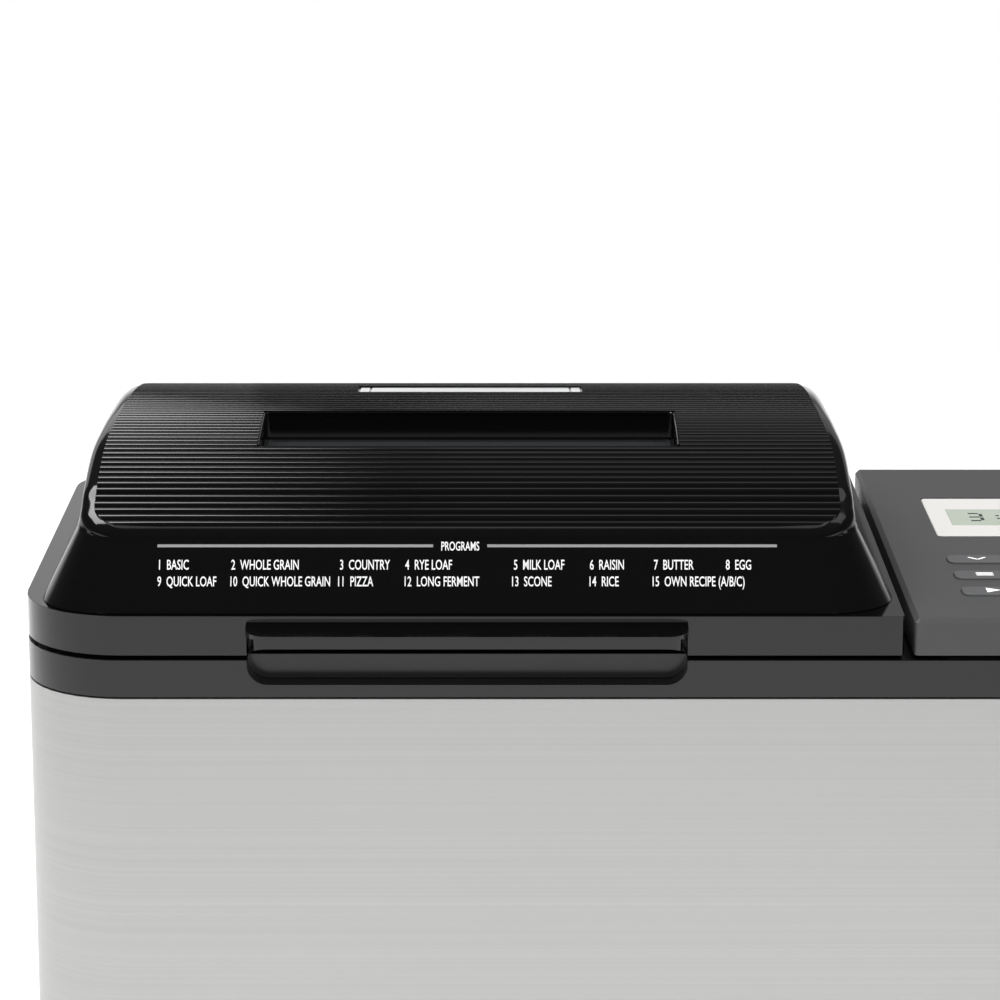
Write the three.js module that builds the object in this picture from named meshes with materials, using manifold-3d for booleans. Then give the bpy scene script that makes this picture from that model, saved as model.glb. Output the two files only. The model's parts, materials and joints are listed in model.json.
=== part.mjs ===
// A bread machine with a horizontal pan: a steel-wrapped body, a domed lid with a window, a control
// panel beside the lid, and inside a baking chamber, a pan with two kneading paddles and their belt drive.
// Millimetres, +Z up. The front faces -Y, and the origin is on the ground under the middle.
import * as THREE from "three";
import { mergeVertices } from "three/addons/utils/BufferGeometryUtils.js";
import { ConvexGeometry } from "three/addons/geometries/ConvexGeometry.js";
import Module from "manifold-3d";

// ---------- driving dimensions ----------
const WIDTH = 457; // over the body
const BODY_DEPTH = 254; // front face to back
const HEIGHT = 327; // ground to the top of the dome
const LIP_REACH = 13; // how far the lid's pull lip stands out
const GAP = 0.3; // between pieces that meet
const CORNER_FRONT = 40; // the body's upright corners, in plan
const CORNER_BACK = 25;

const FOOT_HEIGHT = 4;
const FOOT_RADIUS = 11;
const BASE_HEIGHT = 20; // the plinth
const BASE_WALL = 3;
const BAND_HEIGHT = 15; // the body's black top band
const SEAM = 1.8; // open line between the band and the lid
const LID_FRAME_HEIGHT = 15.5;
const DOME_RISE = 53.5; // lid frame top to dome top
const PANEL_WIDTH = 113;
const LID_BACK_SETBACK = 12.5; // the lid's back edge, in from the body's back
const LID_CORNER_RIGHT = 2;
const PANEL_GAP = 4; // between the lid and the control panel
const PANEL_DROP = 1; // the panel's top is this much below the lid frame's top
const SHEET = 1.2; // metal sheet
const SHELL = 3; // moulded walls
const SHARP = 0.5; // radius of a corner that is nearly sharp
const REAR_INSET = 3.5; // the rear cover, in from the band above it
const WRAP_END_FROM_BACK = 33; // where the steel wrap stops, in from the back

const DOME_LEFT_FLANGE = 7.2; // lid frame showing beside the dome's feet
const DOME_RIGHT_FLANGE = 2;
const DOME_FRONT_FLANGE = 3;
const DOME_BACK_FLANGE = 3;
const DOME_WALL = 2.6;
const WELL_HALF_WIDTH = 84; // the window well
const WELL_FRONT = 73; // behind the front face
const WELL_BACK = 120;
const WELL_GLASS_DROP = 11; // glass top below the dome top
const WELL_WALL = 2;
const WELL_LEDGE = 3;
const GLASS = 2.5;
const BADGE_HALF_WIDTH = 46.5;
const BADGE_FRONT = 166;
const BADGE_DEPTH = 19;
const BADGE_THICKNESS = 1;
const BADGE_PROUD = 0.4;

const PULL_HALF_WIDTH = 84.5; // the lip, the recess behind it and the finger scoop
const PULL_RECESS = 8.4;
const PULL_WALL = 2.5;
const LIP_TOP_DROP = 2.3; // lip top at the frame face, below the frame top
const LIP_EDGE_DROP = 4.5; // lip top at its front edge
const LIP_BOTTOM_DROP = 5.9;
const LIP_CORNER = 7.5;
const SCOOP_DROP = 9.7; // the scoop in the band, below the band top
const SCOOP_CORNER = 8;

const CHAMBER_END_ROOM = 20.5; // between the pan and the chamber's walls
const CHAMBER_SIDE_ROOM = 24.5;
const CHAMBER_CORNER = 24;
const CHAMBER_FLOOR_RISE = 12; // above the chassis plate
const CHAMBER_FLANGE = 10;
const DECK_LEDGE = 3; // the band's deck, in over the chamber's wall
const LINER_MARGIN = 7; // the lid liner's hollow, in from the chamber
const LINER_RISE = 24.5; // the hollow's ceiling above the lid frame

const PAN_HALF_WIDTH = 117.5; // outside, at the rim
const PAN_HALF_DEPTH = 67.5;
const PAN_TAPER = 9.5; // per side, rim to bottom
const PAN_BOTTOM_RISE = 28; // above the chamber's floor
const PAN_RIM_DROP = 16.2; // below the band's top
const PAN_WALL = 1.8;
const PAN_CORNER = 18;
const RIM_WIDTH = 3.5;
const PADDLE_SPACING = 100;
const PADDLE_ROOM = 27.5; // from a paddle's tip to the pan's rim
const PADDLE_HEIGHT = 26;
const HUB_RADIUS = 9;
const SHAFT_RADIUS = 4;
const HANDLE_REACH = 52;
const HANDLE_DROP = 12; // pivots below the rim
const HANDLE_WIRE = 2.5; // radius
const HANDLE_REST_ANGLE = 20; // above level, in degrees
const HANDLE_OUTSET = 7; // arms outside the pan's end walls

const CHASSIS_LEVEL = 60;
const PULLEY_RADIUS = 25; // the two shafts' equal pulleys
const MAIN_PULLEY_RADIUS = 44;
const MOTOR_PULLEY_RADIUS = 8;
const PULLEY_WIDTH = 8;
const PULLEY_FLANGE = 3;
const PADDLE_BELT_LEVEL = 34;
const MOTOR_BELT_LEVEL = 45;
const BELT_THICKNESS = 2;
const BELT_CLEARANCE = 0.8; // covers the flats of the round pieces
const MOTOR_OFFSET = 22; // left of the panel's middle
const MOTOR_Y = 10;
const MOTOR_RADIUS = 32;
const MOTOR_HEIGHT = 72;

const HINGE_SPREAD = 110; // each hinge from the lid's middle
const HINGE_SETBACK = 6.5; // pivot line in from the body's back
const HINGE_RISE = 7.3; // pivot line above the band
const KNUCKLE_RADIUS = 4.5;
const KNUCKLE_WIDTH = 12;
const HINGE_PIN_RADIUS = 2;
const EAR = 3;

const DISPLAY_MARGIN = 23; // display window in from the panel's edges
const DISPLAY_FRONT = 130; // behind the front face
const DISPLAY_DEPTH = 68.4;
const BUTTON_WIDTH = 24;
const BUTTON_LENGTH = 12;
const BUTTON_PITCH = 25;
const BUTTON_COLUMN = 22; // each column from the panel's middle
const BUTTON_FIRST_ROW = 40; // behind the front face
const BUTTON_PROUD = 0.8;
const BUTTON_TRAVEL = 0.8;

// ---------- places that follow from them ----------
const LEFT = -WIDTH / 2;
const RIGHT = WIDTH / 2;
const FRONT = -(BODY_DEPTH + LIP_REACH) / 2 + LIP_REACH;
const BACK = FRONT + BODY_DEPTH;
const BASE_TOP = FOOT_HEIGHT + BASE_HEIGHT;
const FRAME_TOP = HEIGHT - DOME_RISE;
const FRAME_BOTTOM = FRAME_TOP - LID_FRAME_HEIGHT;
const BAND_TOP = FRAME_BOTTOM - SEAM;
const BAND_BOTTOM = BAND_TOP - BAND_HEIGHT;
const DECK_BOTTOM = BAND_TOP - SHELL;
const LID_RIGHT = RIGHT - PANEL_WIDTH - PANEL_GAP;
const LID_BACK = BACK - LID_BACK_SETBACK;
const PANEL_LEFT = LID_RIGHT + PANEL_GAP;
const PANEL_TOP = FRAME_TOP - PANEL_DROP;
const PANEL_MIDDLE = (PANEL_LEFT + RIGHT) / 2;
const DOME_HALF_WIDTH = (LID_RIGHT - DOME_RIGHT_FLANGE - LEFT - DOME_LEFT_FLANGE) / 2;
const DOME_X = LID_RIGHT - DOME_RIGHT_FLANGE - DOME_HALF_WIDTH;
const CHAMBER_HALF_WIDTH = PAN_HALF_WIDTH + CHAMBER_END_ROOM;
const CHAMBER_HALF_DEPTH = PAN_HALF_DEPTH + CHAMBER_SIDE_ROOM;
const CHAMBER_FLOOR = CHASSIS_LEVEL + CHAMBER_FLOOR_RISE;
const PAN_BOTTOM = CHAMBER_FLOOR + PAN_BOTTOM_RISE;
const PAN_RIM = BAND_TOP - PAN_RIM_DROP;
const LINER_CEILING = FRAME_TOP + LINER_RISE;
const MOTOR_X = PANEL_MIDDLE - MOTOR_OFFSET;
const HINGE_Y = BACK - HINGE_SETBACK;
const HINGE_Z = BAND_TOP + HINGE_RISE;
const HANDLE_Z = PAN_RIM - HANDLE_DROP;
// How finely round shapes are cut into flats.
const ROUND_SIDES = 12;
const TURNED_SIDES = 18;
const CORNER_STEPS = 3; // pairs of flats to a quarter turn
const FINE_STEPS = 5;
const SMALL_STEPS = 1;
const HEATER_STEPS = 64;
const BELT_STEPS = 7;
const HANDLE_STEPS = 34;
const SIDES = [
  ["left", -1],
  ["right", 1],
];

// ---------- solids ----------
const wasm = await Module();
wasm.setup();

function solid(geometry) {
  const bare = geometry.clone();
  bare.deleteAttribute("normal");
  bare.deleteAttribute("uv");
  const merged = mergeVertices(bare, 1e-3);
  const mesh = new wasm.Mesh({
    numProp: 3,
    vertProperties: merged.attributes.position.array,
    triVerts: new Uint32Array(merged.index.array),
  });
  return new wasm.Manifold(mesh);
}

function geometryOf(made) {
  const mesh = made.getMesh();
  const geometry = new THREE.BufferGeometry();
  geometry.setAttribute("position", new THREE.BufferAttribute(mesh.vertProperties, 3));
  geometry.setIndex(new THREE.BufferAttribute(mesh.triVerts, 1));
  return geometry;
}

const cut = (base, ...tools) => tools.reduce((left, tool) => left.subtract(tool), base);
const join = (first, ...others) => others.reduce((sum, other) => sum.add(other), first);

function block(x0, x1, y0, y1, z0, z1) {
  const box = new THREE.BoxGeometry(x1 - x0, y1 - y0, z1 - z0);
  return solid(box.translate((x0 + x1) / 2, (y0 + y1) / 2, (z0 + z1) / 2));
}

// An upright round bar.
function bar(x, y, radius, z0, z1, sides = ROUND_SIDES) {
  const round = new THREE.CylinderGeometry(radius, radius, z1 - z0, sides);
  return solid(round.rotateX(Math.PI / 2).translate(x, y, (z0 + z1) / 2));
}

// A round bar along X.
function crossBar(x0, x1, y, z, radius, sides = ROUND_SIDES) {
  const round = new THREE.CylinderGeometry(radius, radius, x1 - x0, sides);
  return solid(round.rotateZ(Math.PI / 2).translate((x0 + x1) / 2, y, z));
}

// A plan outline: a rectangle whose corners have radii front left, front right, back right, back left.
const outline = (x0, x1, y0, y1, radii) => ({ x0, x1, y0, y1, radii });
const centred = (x, y, halfX, halfY, r) =>
  outline(x - halfX, x + halfX, y - halfY, y + halfY, [r, r, r, r]);

function grown(o, by) {
  const radii = o.radii.map((r) => Math.max(r + by, SHARP));
  return outline(o.x0 - by, o.x1 + by, o.y0 - by, o.y1 + by, radii);
}

function shapeOf(o) {
  const [fl, fr, br, bl] = o.radii;
  const shape = new THREE.Shape();
  shape.absarc(o.x0 + fl, o.y0 + fl, fl, Math.PI, 1.5 * Math.PI);
  shape.absarc(o.x1 - fr, o.y0 + fr, fr, 1.5 * Math.PI, 2 * Math.PI);
  shape.absarc(o.x1 - br, o.y1 - br, br, 0, 0.5 * Math.PI);
  shape.absarc(o.x0 + bl, o.y1 - bl, bl, 0.5 * Math.PI, Math.PI);
  return shape;
}

function slab(o, z0, z1, curveSegments = CORNER_STEPS) {
  const settings = { depth: z1 - z0, bevelEnabled: false, curveSegments };
  return solid(new THREE.ExtrudeGeometry(shapeOf(o), settings).translate(0, 0, z0));
}

function outlinePoints(o, z, segments = CORNER_STEPS) {
  return shapeOf(o)
    .getPoints(segments)
    .map((p) => new THREE.Vector3(p.x, p.y, z));
}

// The block between two plan outlines at two levels.
const tapered = (low, zLow, high, zHigh) =>
  solid(new ConvexGeometry([...outlinePoints(low, zLow), ...outlinePoints(high, zHigh)]));

// A turned ring or disc about an upright axis, from (radius, level) corners, going round its section.
function turned(x, y, corners, segments = TURNED_SIDES) {
  const points = corners.map(([r, z]) => new THREE.Vector2(r, z));
  const lathe = new THREE.LatheGeometry(points, segments);
  return solid(lathe.rotateX(Math.PI / 2).translate(x, y, 0));
}

const ring = (x, y, rIn, rOut, z0, z1, segments) =>
  turned(x, y, [[rIn, z0], [rOut, z0], [rOut, z1], [rIn, z1], [rIn, z0]], segments);

// ---------- finishes ----------
const finishes = {
  gloss: { color: 0x0b0b0c, roughness: 0.12, metalness: 0 },
  band: { color: 0x1c1d1e, roughness: 0.3, metalness: 0 },
  panel: { color: 0x2b2c2e, roughness: 0.45, metalness: 0 },
  steel: { color: 0xc3c4c2, roughness: 0.32, metalness: 1 },
  plated: { color: 0xa9abac, roughness: 0.4, metalness: 1 },
  pan: { color: 0x3b3c3e, roughness: 0.45, metalness: 0.6 },
  coating: { color: 0x262628, roughness: 0.5, metalness: 0.3 },
  rubber: { color: 0x161616, roughness: 0.85, metalness: 0 },
  plastic: { color: 0x202122, roughness: 0.6, metalness: 0 },
  pale: { color: 0xb9bcb8, roughness: 0.4, metalness: 0 },
  silver: { color: 0xd2d3d4, roughness: 0.3, metalness: 1 },
  glass: { color: 0x15181a, roughness: 0.05, metalness: 0 },
  board: { color: 0x1f5a35, roughness: 0.6, metalness: 0 },
  heater: { color: 0x4a4541, roughness: 0.55, metalness: 0.9 },
  belt: { color: 0x1a1a1a, roughness: 0.8, metalness: 0 },
};

const machine = new THREE.Group();

function add(name, made, finish) {
  const material = new THREE.MeshStandardMaterial(finishes[finish]);
  const mesh = new THREE.Mesh(geometryOf(made), material);
  mesh.name = name;
  machine.add(mesh);
}

// ---------- outlines shared by the shells ----------
const bodyOutline = outline(LEFT, RIGHT, FRONT, BACK, [
  CORNER_FRONT,
  CORNER_FRONT,
  CORNER_BACK,
  CORNER_BACK,
]);
const lidOutline = outline(LEFT, LID_RIGHT, FRONT, LID_BACK, [
  CORNER_FRONT,
  LID_CORNER_RIGHT,
  LID_CORNER_RIGHT,
  CORNER_BACK,
]);
const panelOutline = outline(PANEL_LEFT, RIGHT, FRONT, BACK, [
  LID_CORNER_RIGHT,
  CORNER_FRONT,
  CORNER_BACK,
  LID_CORNER_RIGHT,
]);
const chamberOutline = centred(
  DOME_X,
  0,
  CHAMBER_HALF_WIDTH,
  CHAMBER_HALF_DEPTH,
  CHAMBER_CORNER,
);
// The stretch of the front where the lip, the recess behind it and the scoop are.
const pullOutline = (reach, back, frontRadius, backRadius) =>
  outline(DOME_X - PULL_HALF_WIDTH, DOME_X + PULL_HALF_WIDTH, FRONT - reach, FRONT + back, [
    frontRadius,
    frontRadius,
    backRadius,
    backRadius,
  ]);

// ---------- base ----------
const POST_X = [LEFT + 42, RIGHT - 42];
const POST_Y = [FRONT + 42, BACK - 42];
const POST_RADIUS = 7;

function baseTray() {
  const tray = cut(
    slab(grown(bodyOutline, -1), FOOT_HEIGHT, BASE_TOP),
    slab(grown(bodyOutline, -1 - BASE_WALL), FOOT_HEIGHT + BASE_WALL, BASE_TOP + 1),
  );
  const posts = POST_X.flatMap((x) =>
    POST_Y.map((y) => bar(x, y, POST_RADIUS, FOOT_HEIGHT + 1, CHASSIS_LEVEL - GAP)),
  );
  add("base_tray", join(tray, ...posts), "plastic");
}

function feet() {
  const names = ["left", "right"];
  POST_X.forEach((x, i) =>
    POST_Y.forEach((y, j) => {
      const name = `foot_${j ? "back" : "front"}_${names[i]}`;
      add(name, bar(x, y, FOOT_RADIUS, 0, FOOT_HEIGHT - GAP, TURNED_SIDES), "rubber");
    }),
  );
}

// ---------- outer shells ----------
const wrapEnd = BACK - WRAP_END_FROM_BACK;

function outerWrap() {
  const z0 = BASE_TOP + GAP;
  const z1 = BAND_BOTTOM - GAP;
  const shell = cut(
    slab(bodyOutline, z0, z1, FINE_STEPS),
    slab(grown(bodyOutline, -SHEET), z0 - 1, z1 + 1, FINE_STEPS),
    block(LEFT - 1, RIGHT + 1, wrapEnd, BACK + 1, z0 - 1, z1 + 1),
  );
  add("outer_wrap", shell, "steel");
}

const GLAND_X = RIGHT - 70;
const GLAND_Z = BASE_TOP + 26;
const GLAND_RADIUS = 6;
const VENT_COUNT = 12;
const VENT_PITCH = 9;
const VENT_WIDTH = 3;
const VENT_LENGTH = 62;

function rearCover() {
  const z0 = BASE_TOP + GAP;
  const z1 = BAND_BOTTOM - GAP;
  const outer = outline(LEFT, RIGHT, FRONT, BACK - REAR_INSET, bodyOutline.radii);
  const shell = cut(
    slab(outer, z0, z1),
    slab(grown(outer, -SHELL), z0 - 1, z1 + 1),
    block(LEFT - 1, RIGHT + 1, FRONT - 1, wrapEnd + GAP, z0 - 1, z1 + 1),
  );
  const vents = [];
  for (const middle of [DOME_X, PANEL_MIDDLE - 10]) {
    const count = middle === DOME_X ? VENT_COUNT : VENT_COUNT / 2;
    for (let i = 0; i < count; i++) {
      const x = middle + (i - (count - 1) / 2) * VENT_PITCH;
      const half = VENT_WIDTH / 2;
      vents.push(
        block(x - half, x + half, BACK - 15, BACK, z1 - 24 - VENT_LENGTH, z1 - 24),
      );
    }
  }
  const hole = new THREE.CylinderGeometry(GLAND_RADIUS, GLAND_RADIUS, 30, TURNED_SIDES);
  const glandHole = solid(hole.translate(GLAND_X, BACK, GLAND_Z));
  add("rear_cover", cut(shell, glandHole, ...vents), "plastic");
}

function cordGland() {
  const barrel = GLAND_RADIUS - GAP;
  const bore = 3.7;
  const inside = -14;
  const wallFace = -REAR_INSET + GAP;
  const corners = [
    [bore, inside],
    [barrel, inside],
    [barrel, wallFace],
    [GLAND_RADIUS + 3, wallFace],
    [GLAND_RADIUS + 2, -GAP],
    [bore, -GAP],
    [bore, inside],
  ];
  const points = corners.map(([r, y]) => new THREE.Vector2(r, y));
  const gland = new THREE.LatheGeometry(points, TURNED_SIDES).translate(GLAND_X, BACK, GLAND_Z);
  add("cord_gland", solid(gland), "rubber");
}

// The band round the body's top, its deck, and the pocket for the fingers under the lid's lip.
function topFrame() {
  const shell = cut(
    slab(bodyOutline, BAND_BOTTOM, BAND_TOP, FINE_STEPS),
    slab(grown(bodyOutline, -SHELL), BAND_BOTTOM - 1, DECK_BOTTOM, FINE_STEPS),
  );
  const scoopDepth = PULL_RECESS + 1;
  const pocketWall = block(
    DOME_X - PULL_HALF_WIDTH - PULL_WALL,
    DOME_X + PULL_HALF_WIDTH + PULL_WALL,
    FRONT + 1,
    FRONT + scoopDepth + PULL_WALL,
    BAND_TOP - SCOOP_DROP - PULL_WALL,
    BAND_TOP,
  );
  const rest = outline(PANEL_LEFT + 6, RIGHT - 6, FRONT + 6, BACK - 6, [8, 36, 20, 8]);
  const plinth = slab(rest, BAND_TOP - 1, BAND_TOP + SEAM - GAP);
  // The scoop's two lower corners are round, seen from the front.
  const scoop = new THREE.Shape();
  const half = PULL_HALF_WIDTH;
  scoop.moveTo(half, SEAM);
  scoop.lineTo(-half, SEAM);
  scoop.absarc(-half + SCOOP_CORNER, SCOOP_CORNER - SCOOP_DROP, SCOOP_CORNER, Math.PI, 1.5 * Math.PI);
  scoop.absarc(half - SCOOP_CORNER, SCOOP_CORNER - SCOOP_DROP, SCOOP_CORNER, 1.5 * Math.PI, 2 * Math.PI);
  const pocket = new THREE.ExtrudeGeometry(scoop, { depth: scoopDepth + 1, bevelEnabled: false })
    .rotateX(Math.PI / 2)
    .translate(DOME_X, FRONT + scoopDepth, BAND_TOP);
  const wiring = block(PANEL_MIDDLE - 30, PANEL_MIDDLE + 30, 90, 110, DECK_BOTTOM - 1, BAND_TOP + SEAM);
  add(
    "top_frame",
    cut(
      join(shell, pocketWall, plinth),
      slab(grown(chamberOutline, -DECK_LEDGE), BAND_BOTTOM, BAND_TOP + 1),
      solid(pocket),
      wiring,
    ),
    "band",
  );
}

// ---------- baking chamber ----------
const shaftX = (side) => DOME_X + (side * PADDLE_SPACING) / 2;
const PADDLE_REACH = PAN_HALF_WIDTH - PADDLE_SPACING / 2 - PADDLE_ROOM;
const HEATER_LEVEL = 96;
const HEATER_RADIUS = 3.3;
const HEATER_TERMINALS = [-18, 18];
const SENSOR_LEVEL = 130;
const SENSOR_RADIUS = 3.5;

function bakingChamber() {
  const top = DECK_BOTTOM - GAP;
  const walls = cut(
    slab(grown(chamberOutline, SHEET), CHAMBER_FLOOR, top),
    slab(chamberOutline, CHAMBER_FLOOR + SHEET, top + 1),
  );
  const flange = cut(
    slab(grown(chamberOutline, CHAMBER_FLANGE), top - SHEET, top),
    slab(chamberOutline, top - SHEET - 1, top + 1),
  );
  const wallX = DOME_X + CHAMBER_HALF_WIDTH;
  const holes = SIDES.map(([, s]) =>
    bar(shaftX(s), 0, HUB_RADIUS, CHAMBER_FLOOR - 1, CHAMBER_FLOOR + 5),
  );
  const terminals = HEATER_TERMINALS.map((y) =>
    crossBar(wallX - 5, wallX + 5, y, HEATER_LEVEL, HEATER_RADIUS + 1),
  );
  const sensor = crossBar(wallX - 5, wallX + 5, 0, SENSOR_LEVEL, SENSOR_RADIUS + GAP);
  add("baking_chamber", cut(join(walls, flange), ...holes, ...terminals, sensor), "plated");
}

// A sheathed rod that runs round the chamber's foot; both ends go out through the right wall.
function mainHeater() {
  const halfX = CHAMBER_HALF_WIDTH - 9;
  const halfY = CHAMBER_HALF_DEPTH - 9;
  const bend = 22;
  const [y0, y1] = HEATER_TERMINALS;
  const at = (x, y) => new THREE.Vector3(DOME_X + x, y, HEATER_LEVEL);
  const path = new THREE.CurvePath();
  const line = (a, b) => path.add(new THREE.LineCurve3(a, b));
  const corner = (a, b, c) => path.add(new THREE.QuadraticBezierCurve3(a, b, c));
  line(at(halfX + 30, y0), at(halfX + 6, y0));
  corner(at(halfX + 6, y0), at(halfX, y0), at(halfX, y0 - 6));
  line(at(halfX, y0 - 6), at(halfX, -halfY + bend));
  corner(at(halfX, -halfY + bend), at(halfX, -halfY), at(halfX - bend, -halfY));
  line(at(halfX - bend, -halfY), at(-halfX + bend, -halfY));
  corner(at(-halfX + bend, -halfY), at(-halfX, -halfY), at(-halfX, -halfY + bend));
  line(at(-halfX, -halfY + bend), at(-halfX, halfY - bend));
  corner(at(-halfX, halfY - bend), at(-halfX, halfY), at(-halfX + bend, halfY));
  line(at(-halfX + bend, halfY), at(halfX - bend, halfY));
  corner(at(halfX - bend, halfY), at(halfX, halfY), at(halfX, halfY - bend));
  line(at(halfX, halfY - bend), at(halfX, y1 + 6));
  corner(at(halfX, y1 + 6), at(halfX, y1), at(halfX + 6, y1));
  line(at(halfX + 6, y1), at(halfX + 30, y1));
  const section = new THREE.Shape();
  section.absarc(0, 0, HEATER_RADIUS, 0, 2 * Math.PI);
  const rod = new THREE.ExtrudeGeometry(section, { extrudePath: path, steps: HEATER_STEPS, curveSegments: 3 });
  add("main_heater", solid(rod), "heater");
}

function temperatureSensor() {
  const wallX = DOME_X + CHAMBER_HALF_WIDTH;
  const probe = crossBar(wallX - 12, wallX + SHEET + 6, 0, SENSOR_LEVEL, SENSOR_RADIUS);
  const collar = crossBar(wallX + SHEET + GAP, wallX + SHEET + 4, 0, SENSOR_LEVEL, SENSOR_RADIUS + 4);
  add("temperature_sensor", join(probe, collar), "steel");
}

// ---------- pan seat and pan base ----------
const SEAT_HALF_WIDTH = 92;
const SEAT_HALF_DEPTH = 40;
const SEAT_CORNER = 16;
const SEAT_BOTTOM = CHAMBER_FLOOR + SHEET + GAP;
const SEAT_PLATE = 2.5;
const SEAT_TOP = SEAT_BOTTOM + 12;
const seatOutline = centred(DOME_X, 0, SEAT_HALF_WIDTH, SEAT_HALF_DEPTH, SEAT_CORNER);
const DOG_RADIUS = 17;
const DOG_BOTTOM = SEAT_BOTTOM + SEAT_PLATE + GAP;
const DOG_DISC = 3;
const DOG_HEIGHT = 10;

function panSeat() {
  const rim = cut(
    slab(seatOutline, SEAT_BOTTOM, SEAT_TOP),
    slab(grown(seatOutline, -SEAT_PLATE), SEAT_BOTTOM + SEAT_PLATE, SEAT_TOP + 1),
  );
  const holes = SIDES.map(([, s]) => bar(shaftX(s), 0, HUB_RADIUS, SEAT_BOTTOM - 1, SEAT_TOP));
  add("pan_seat", cut(rim, ...holes), "plated");
}

const panLow = centred(
  DOME_X,
  0,
  PAN_HALF_WIDTH - PAN_TAPER,
  PAN_HALF_DEPTH - PAN_TAPER,
  PAN_CORNER,
);
const panHigh = centred(DOME_X, 0, PAN_HALF_WIDTH, PAN_HALF_DEPTH, PAN_CORNER);

function panBase() {
  const foot = grown(seatOutline, -SEAT_PLATE - 1);
  const bottom = SEAT_BOTTOM + SEAT_PLATE + GAP;
  const ringWall = cut(
    slab(foot, bottom, PAN_BOTTOM - GAP),
    slab(grown(foot, -PAN_WALL - 1), bottom - 1, PAN_BOTTOM - 4),
  );
  const holes = SIDES.map(([, s]) =>
    bar(shaftX(s), 0, HUB_RADIUS + GAP, PAN_BOTTOM - 10, PAN_BOTTOM + 1),
  );
  add("pan_base", cut(ringWall, ...holes), "plated");
}

// The pan is a tapered tub with a flat rim and a stud on each end for the handle.
function breadPan() {
  const tub = cut(
    tapered(panLow, PAN_BOTTOM, panHigh, PAN_RIM),
    tapered(grown(panLow, -PAN_WALL), PAN_BOTTOM + PAN_WALL, grown(panHigh, -PAN_WALL), PAN_RIM + 1),
  );
  const rim = cut(
    slab(grown(panHigh, RIM_WIDTH), PAN_RIM - PAN_WALL, PAN_RIM),
    slab(grown(panHigh, -PAN_WALL), PAN_RIM - PAN_WALL - 1, PAN_RIM + 1),
  );
  const studs = SIDES.map(([, s]) => {
    const wall = DOME_X + s * (PAN_HALF_WIDTH - PAN_WALL);
    const tip = DOME_X + s * (PAN_HALF_WIDTH + HANDLE_OUTSET + HANDLE_WIRE + 1);
    return crossBar(Math.min(wall, tip), Math.max(wall, tip), 0, HANDLE_Z, HANDLE_WIRE);
  });
  const holes = SIDES.map(([, s]) =>
    bar(shaftX(s), 0, HUB_RADIUS + GAP, PAN_BOTTOM - 1, PAN_BOTTOM + 5),
  );
  add("bread_pan", cut(join(tub, rim, ...studs), ...holes), "pan");
}

// A wire bail: an eye on each stud, two arms and a crossbar that rests over the pan's ends.
function panHandle() {
  const armX = PAN_HALF_WIDTH + HANDLE_OUTSET;
  const tilt = (HANDLE_REST_ANGLE * Math.PI) / 180;
  const bend = 9;
  const along = (x, reach) =>
    new THREE.Vector3(
      DOME_X + x,
      -reach * Math.cos(tilt),
      HANDLE_Z + reach * Math.sin(tilt),
    );
  const path = new THREE.CurvePath();
  const eye = 4;
  path.add(new THREE.LineCurve3(along(-armX, eye), along(-armX, HANDLE_REACH - bend)));
  path.add(
    new THREE.QuadraticBezierCurve3(
      along(-armX, HANDLE_REACH - bend),
      along(-armX, HANDLE_REACH),
      along(-armX + bend, HANDLE_REACH),
    ),
  );
  path.add(new THREE.LineCurve3(along(-armX + bend, HANDLE_REACH), along(armX - bend, HANDLE_REACH)));
  path.add(
    new THREE.QuadraticBezierCurve3(
      along(armX - bend, HANDLE_REACH),
      along(armX, HANDLE_REACH),
      along(armX, HANDLE_REACH - bend),
    ),
  );
  path.add(new THREE.LineCurve3(along(armX, HANDLE_REACH - bend), along(armX, eye)));
  const section = new THREE.Shape();
  section.absarc(0, 0, HANDLE_WIRE, 0, 2 * Math.PI);
  const wire = new THREE.ExtrudeGeometry(section, { extrudePath: path, steps: HANDLE_STEPS, curveSegments: 4 });
  const eyes = SIDES.map(([, s]) =>
    crossBar(
      DOME_X + s * armX - HANDLE_WIRE,
      DOME_X + s * armX + HANDLE_WIRE,
      0,
      HANDLE_Z,
      HANDLE_WIRE + 4,
    ),
  );
  const holes = SIDES.map(([, s]) =>
    crossBar(DOME_X + s * armX - 6, DOME_X + s * armX + 6, 0, HANDLE_Z, HANDLE_WIRE + GAP),
  );
  add("pan_handle", cut(join(solid(wire), ...eyes), ...holes), "steel");
}

// ---------- kneading parts in the pan ----------
const WING_TOP = DOG_BOTTOM + DOG_HEIGHT;
const WING_LENGTH = 26;
const WING_WIDTH = 5;
const BUSH_BOTTOM = PAN_BOTTOM - 8;
const BUSH_TOP = PAN_BOTTOM + 6;
const HUB_BOTTOM = BUSH_TOP + GAP;
const HUB_TOP = HUB_BOTTOM + 20;

function panBush(side, s) {
  add(
    `pan_bush_${side}`,
    ring(shaftX(s), 0, SHAFT_RADIUS + GAP, HUB_RADIUS, BUSH_BOTTOM, BUSH_TOP),
    "steel",
  );
}

function panShaft(side, s) {
  const x = shaftX(s);
  const wingBottom = DOG_BOTTOM + DOG_DISC + 0.5;
  const wing = block(
    x - WING_WIDTH / 2,
    x + WING_WIDTH / 2,
    -WING_LENGTH / 2,
    WING_LENGTH / 2,
    wingBottom,
    WING_TOP,
  );
  add(`pan_shaft_${side}`, join(bar(x, 0, SHAFT_RADIUS, wingBottom, HUB_TOP - 1), wing), "steel");
}

// The blade leans up from the floor of the pan and ends in a rounded tip.
const BLADE_THICKNESS = 3.5;
const TIP_RADIUS = 3;
const BLADE_LEAN = 9;
const BLADE_SHOULDER = 6;

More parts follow.
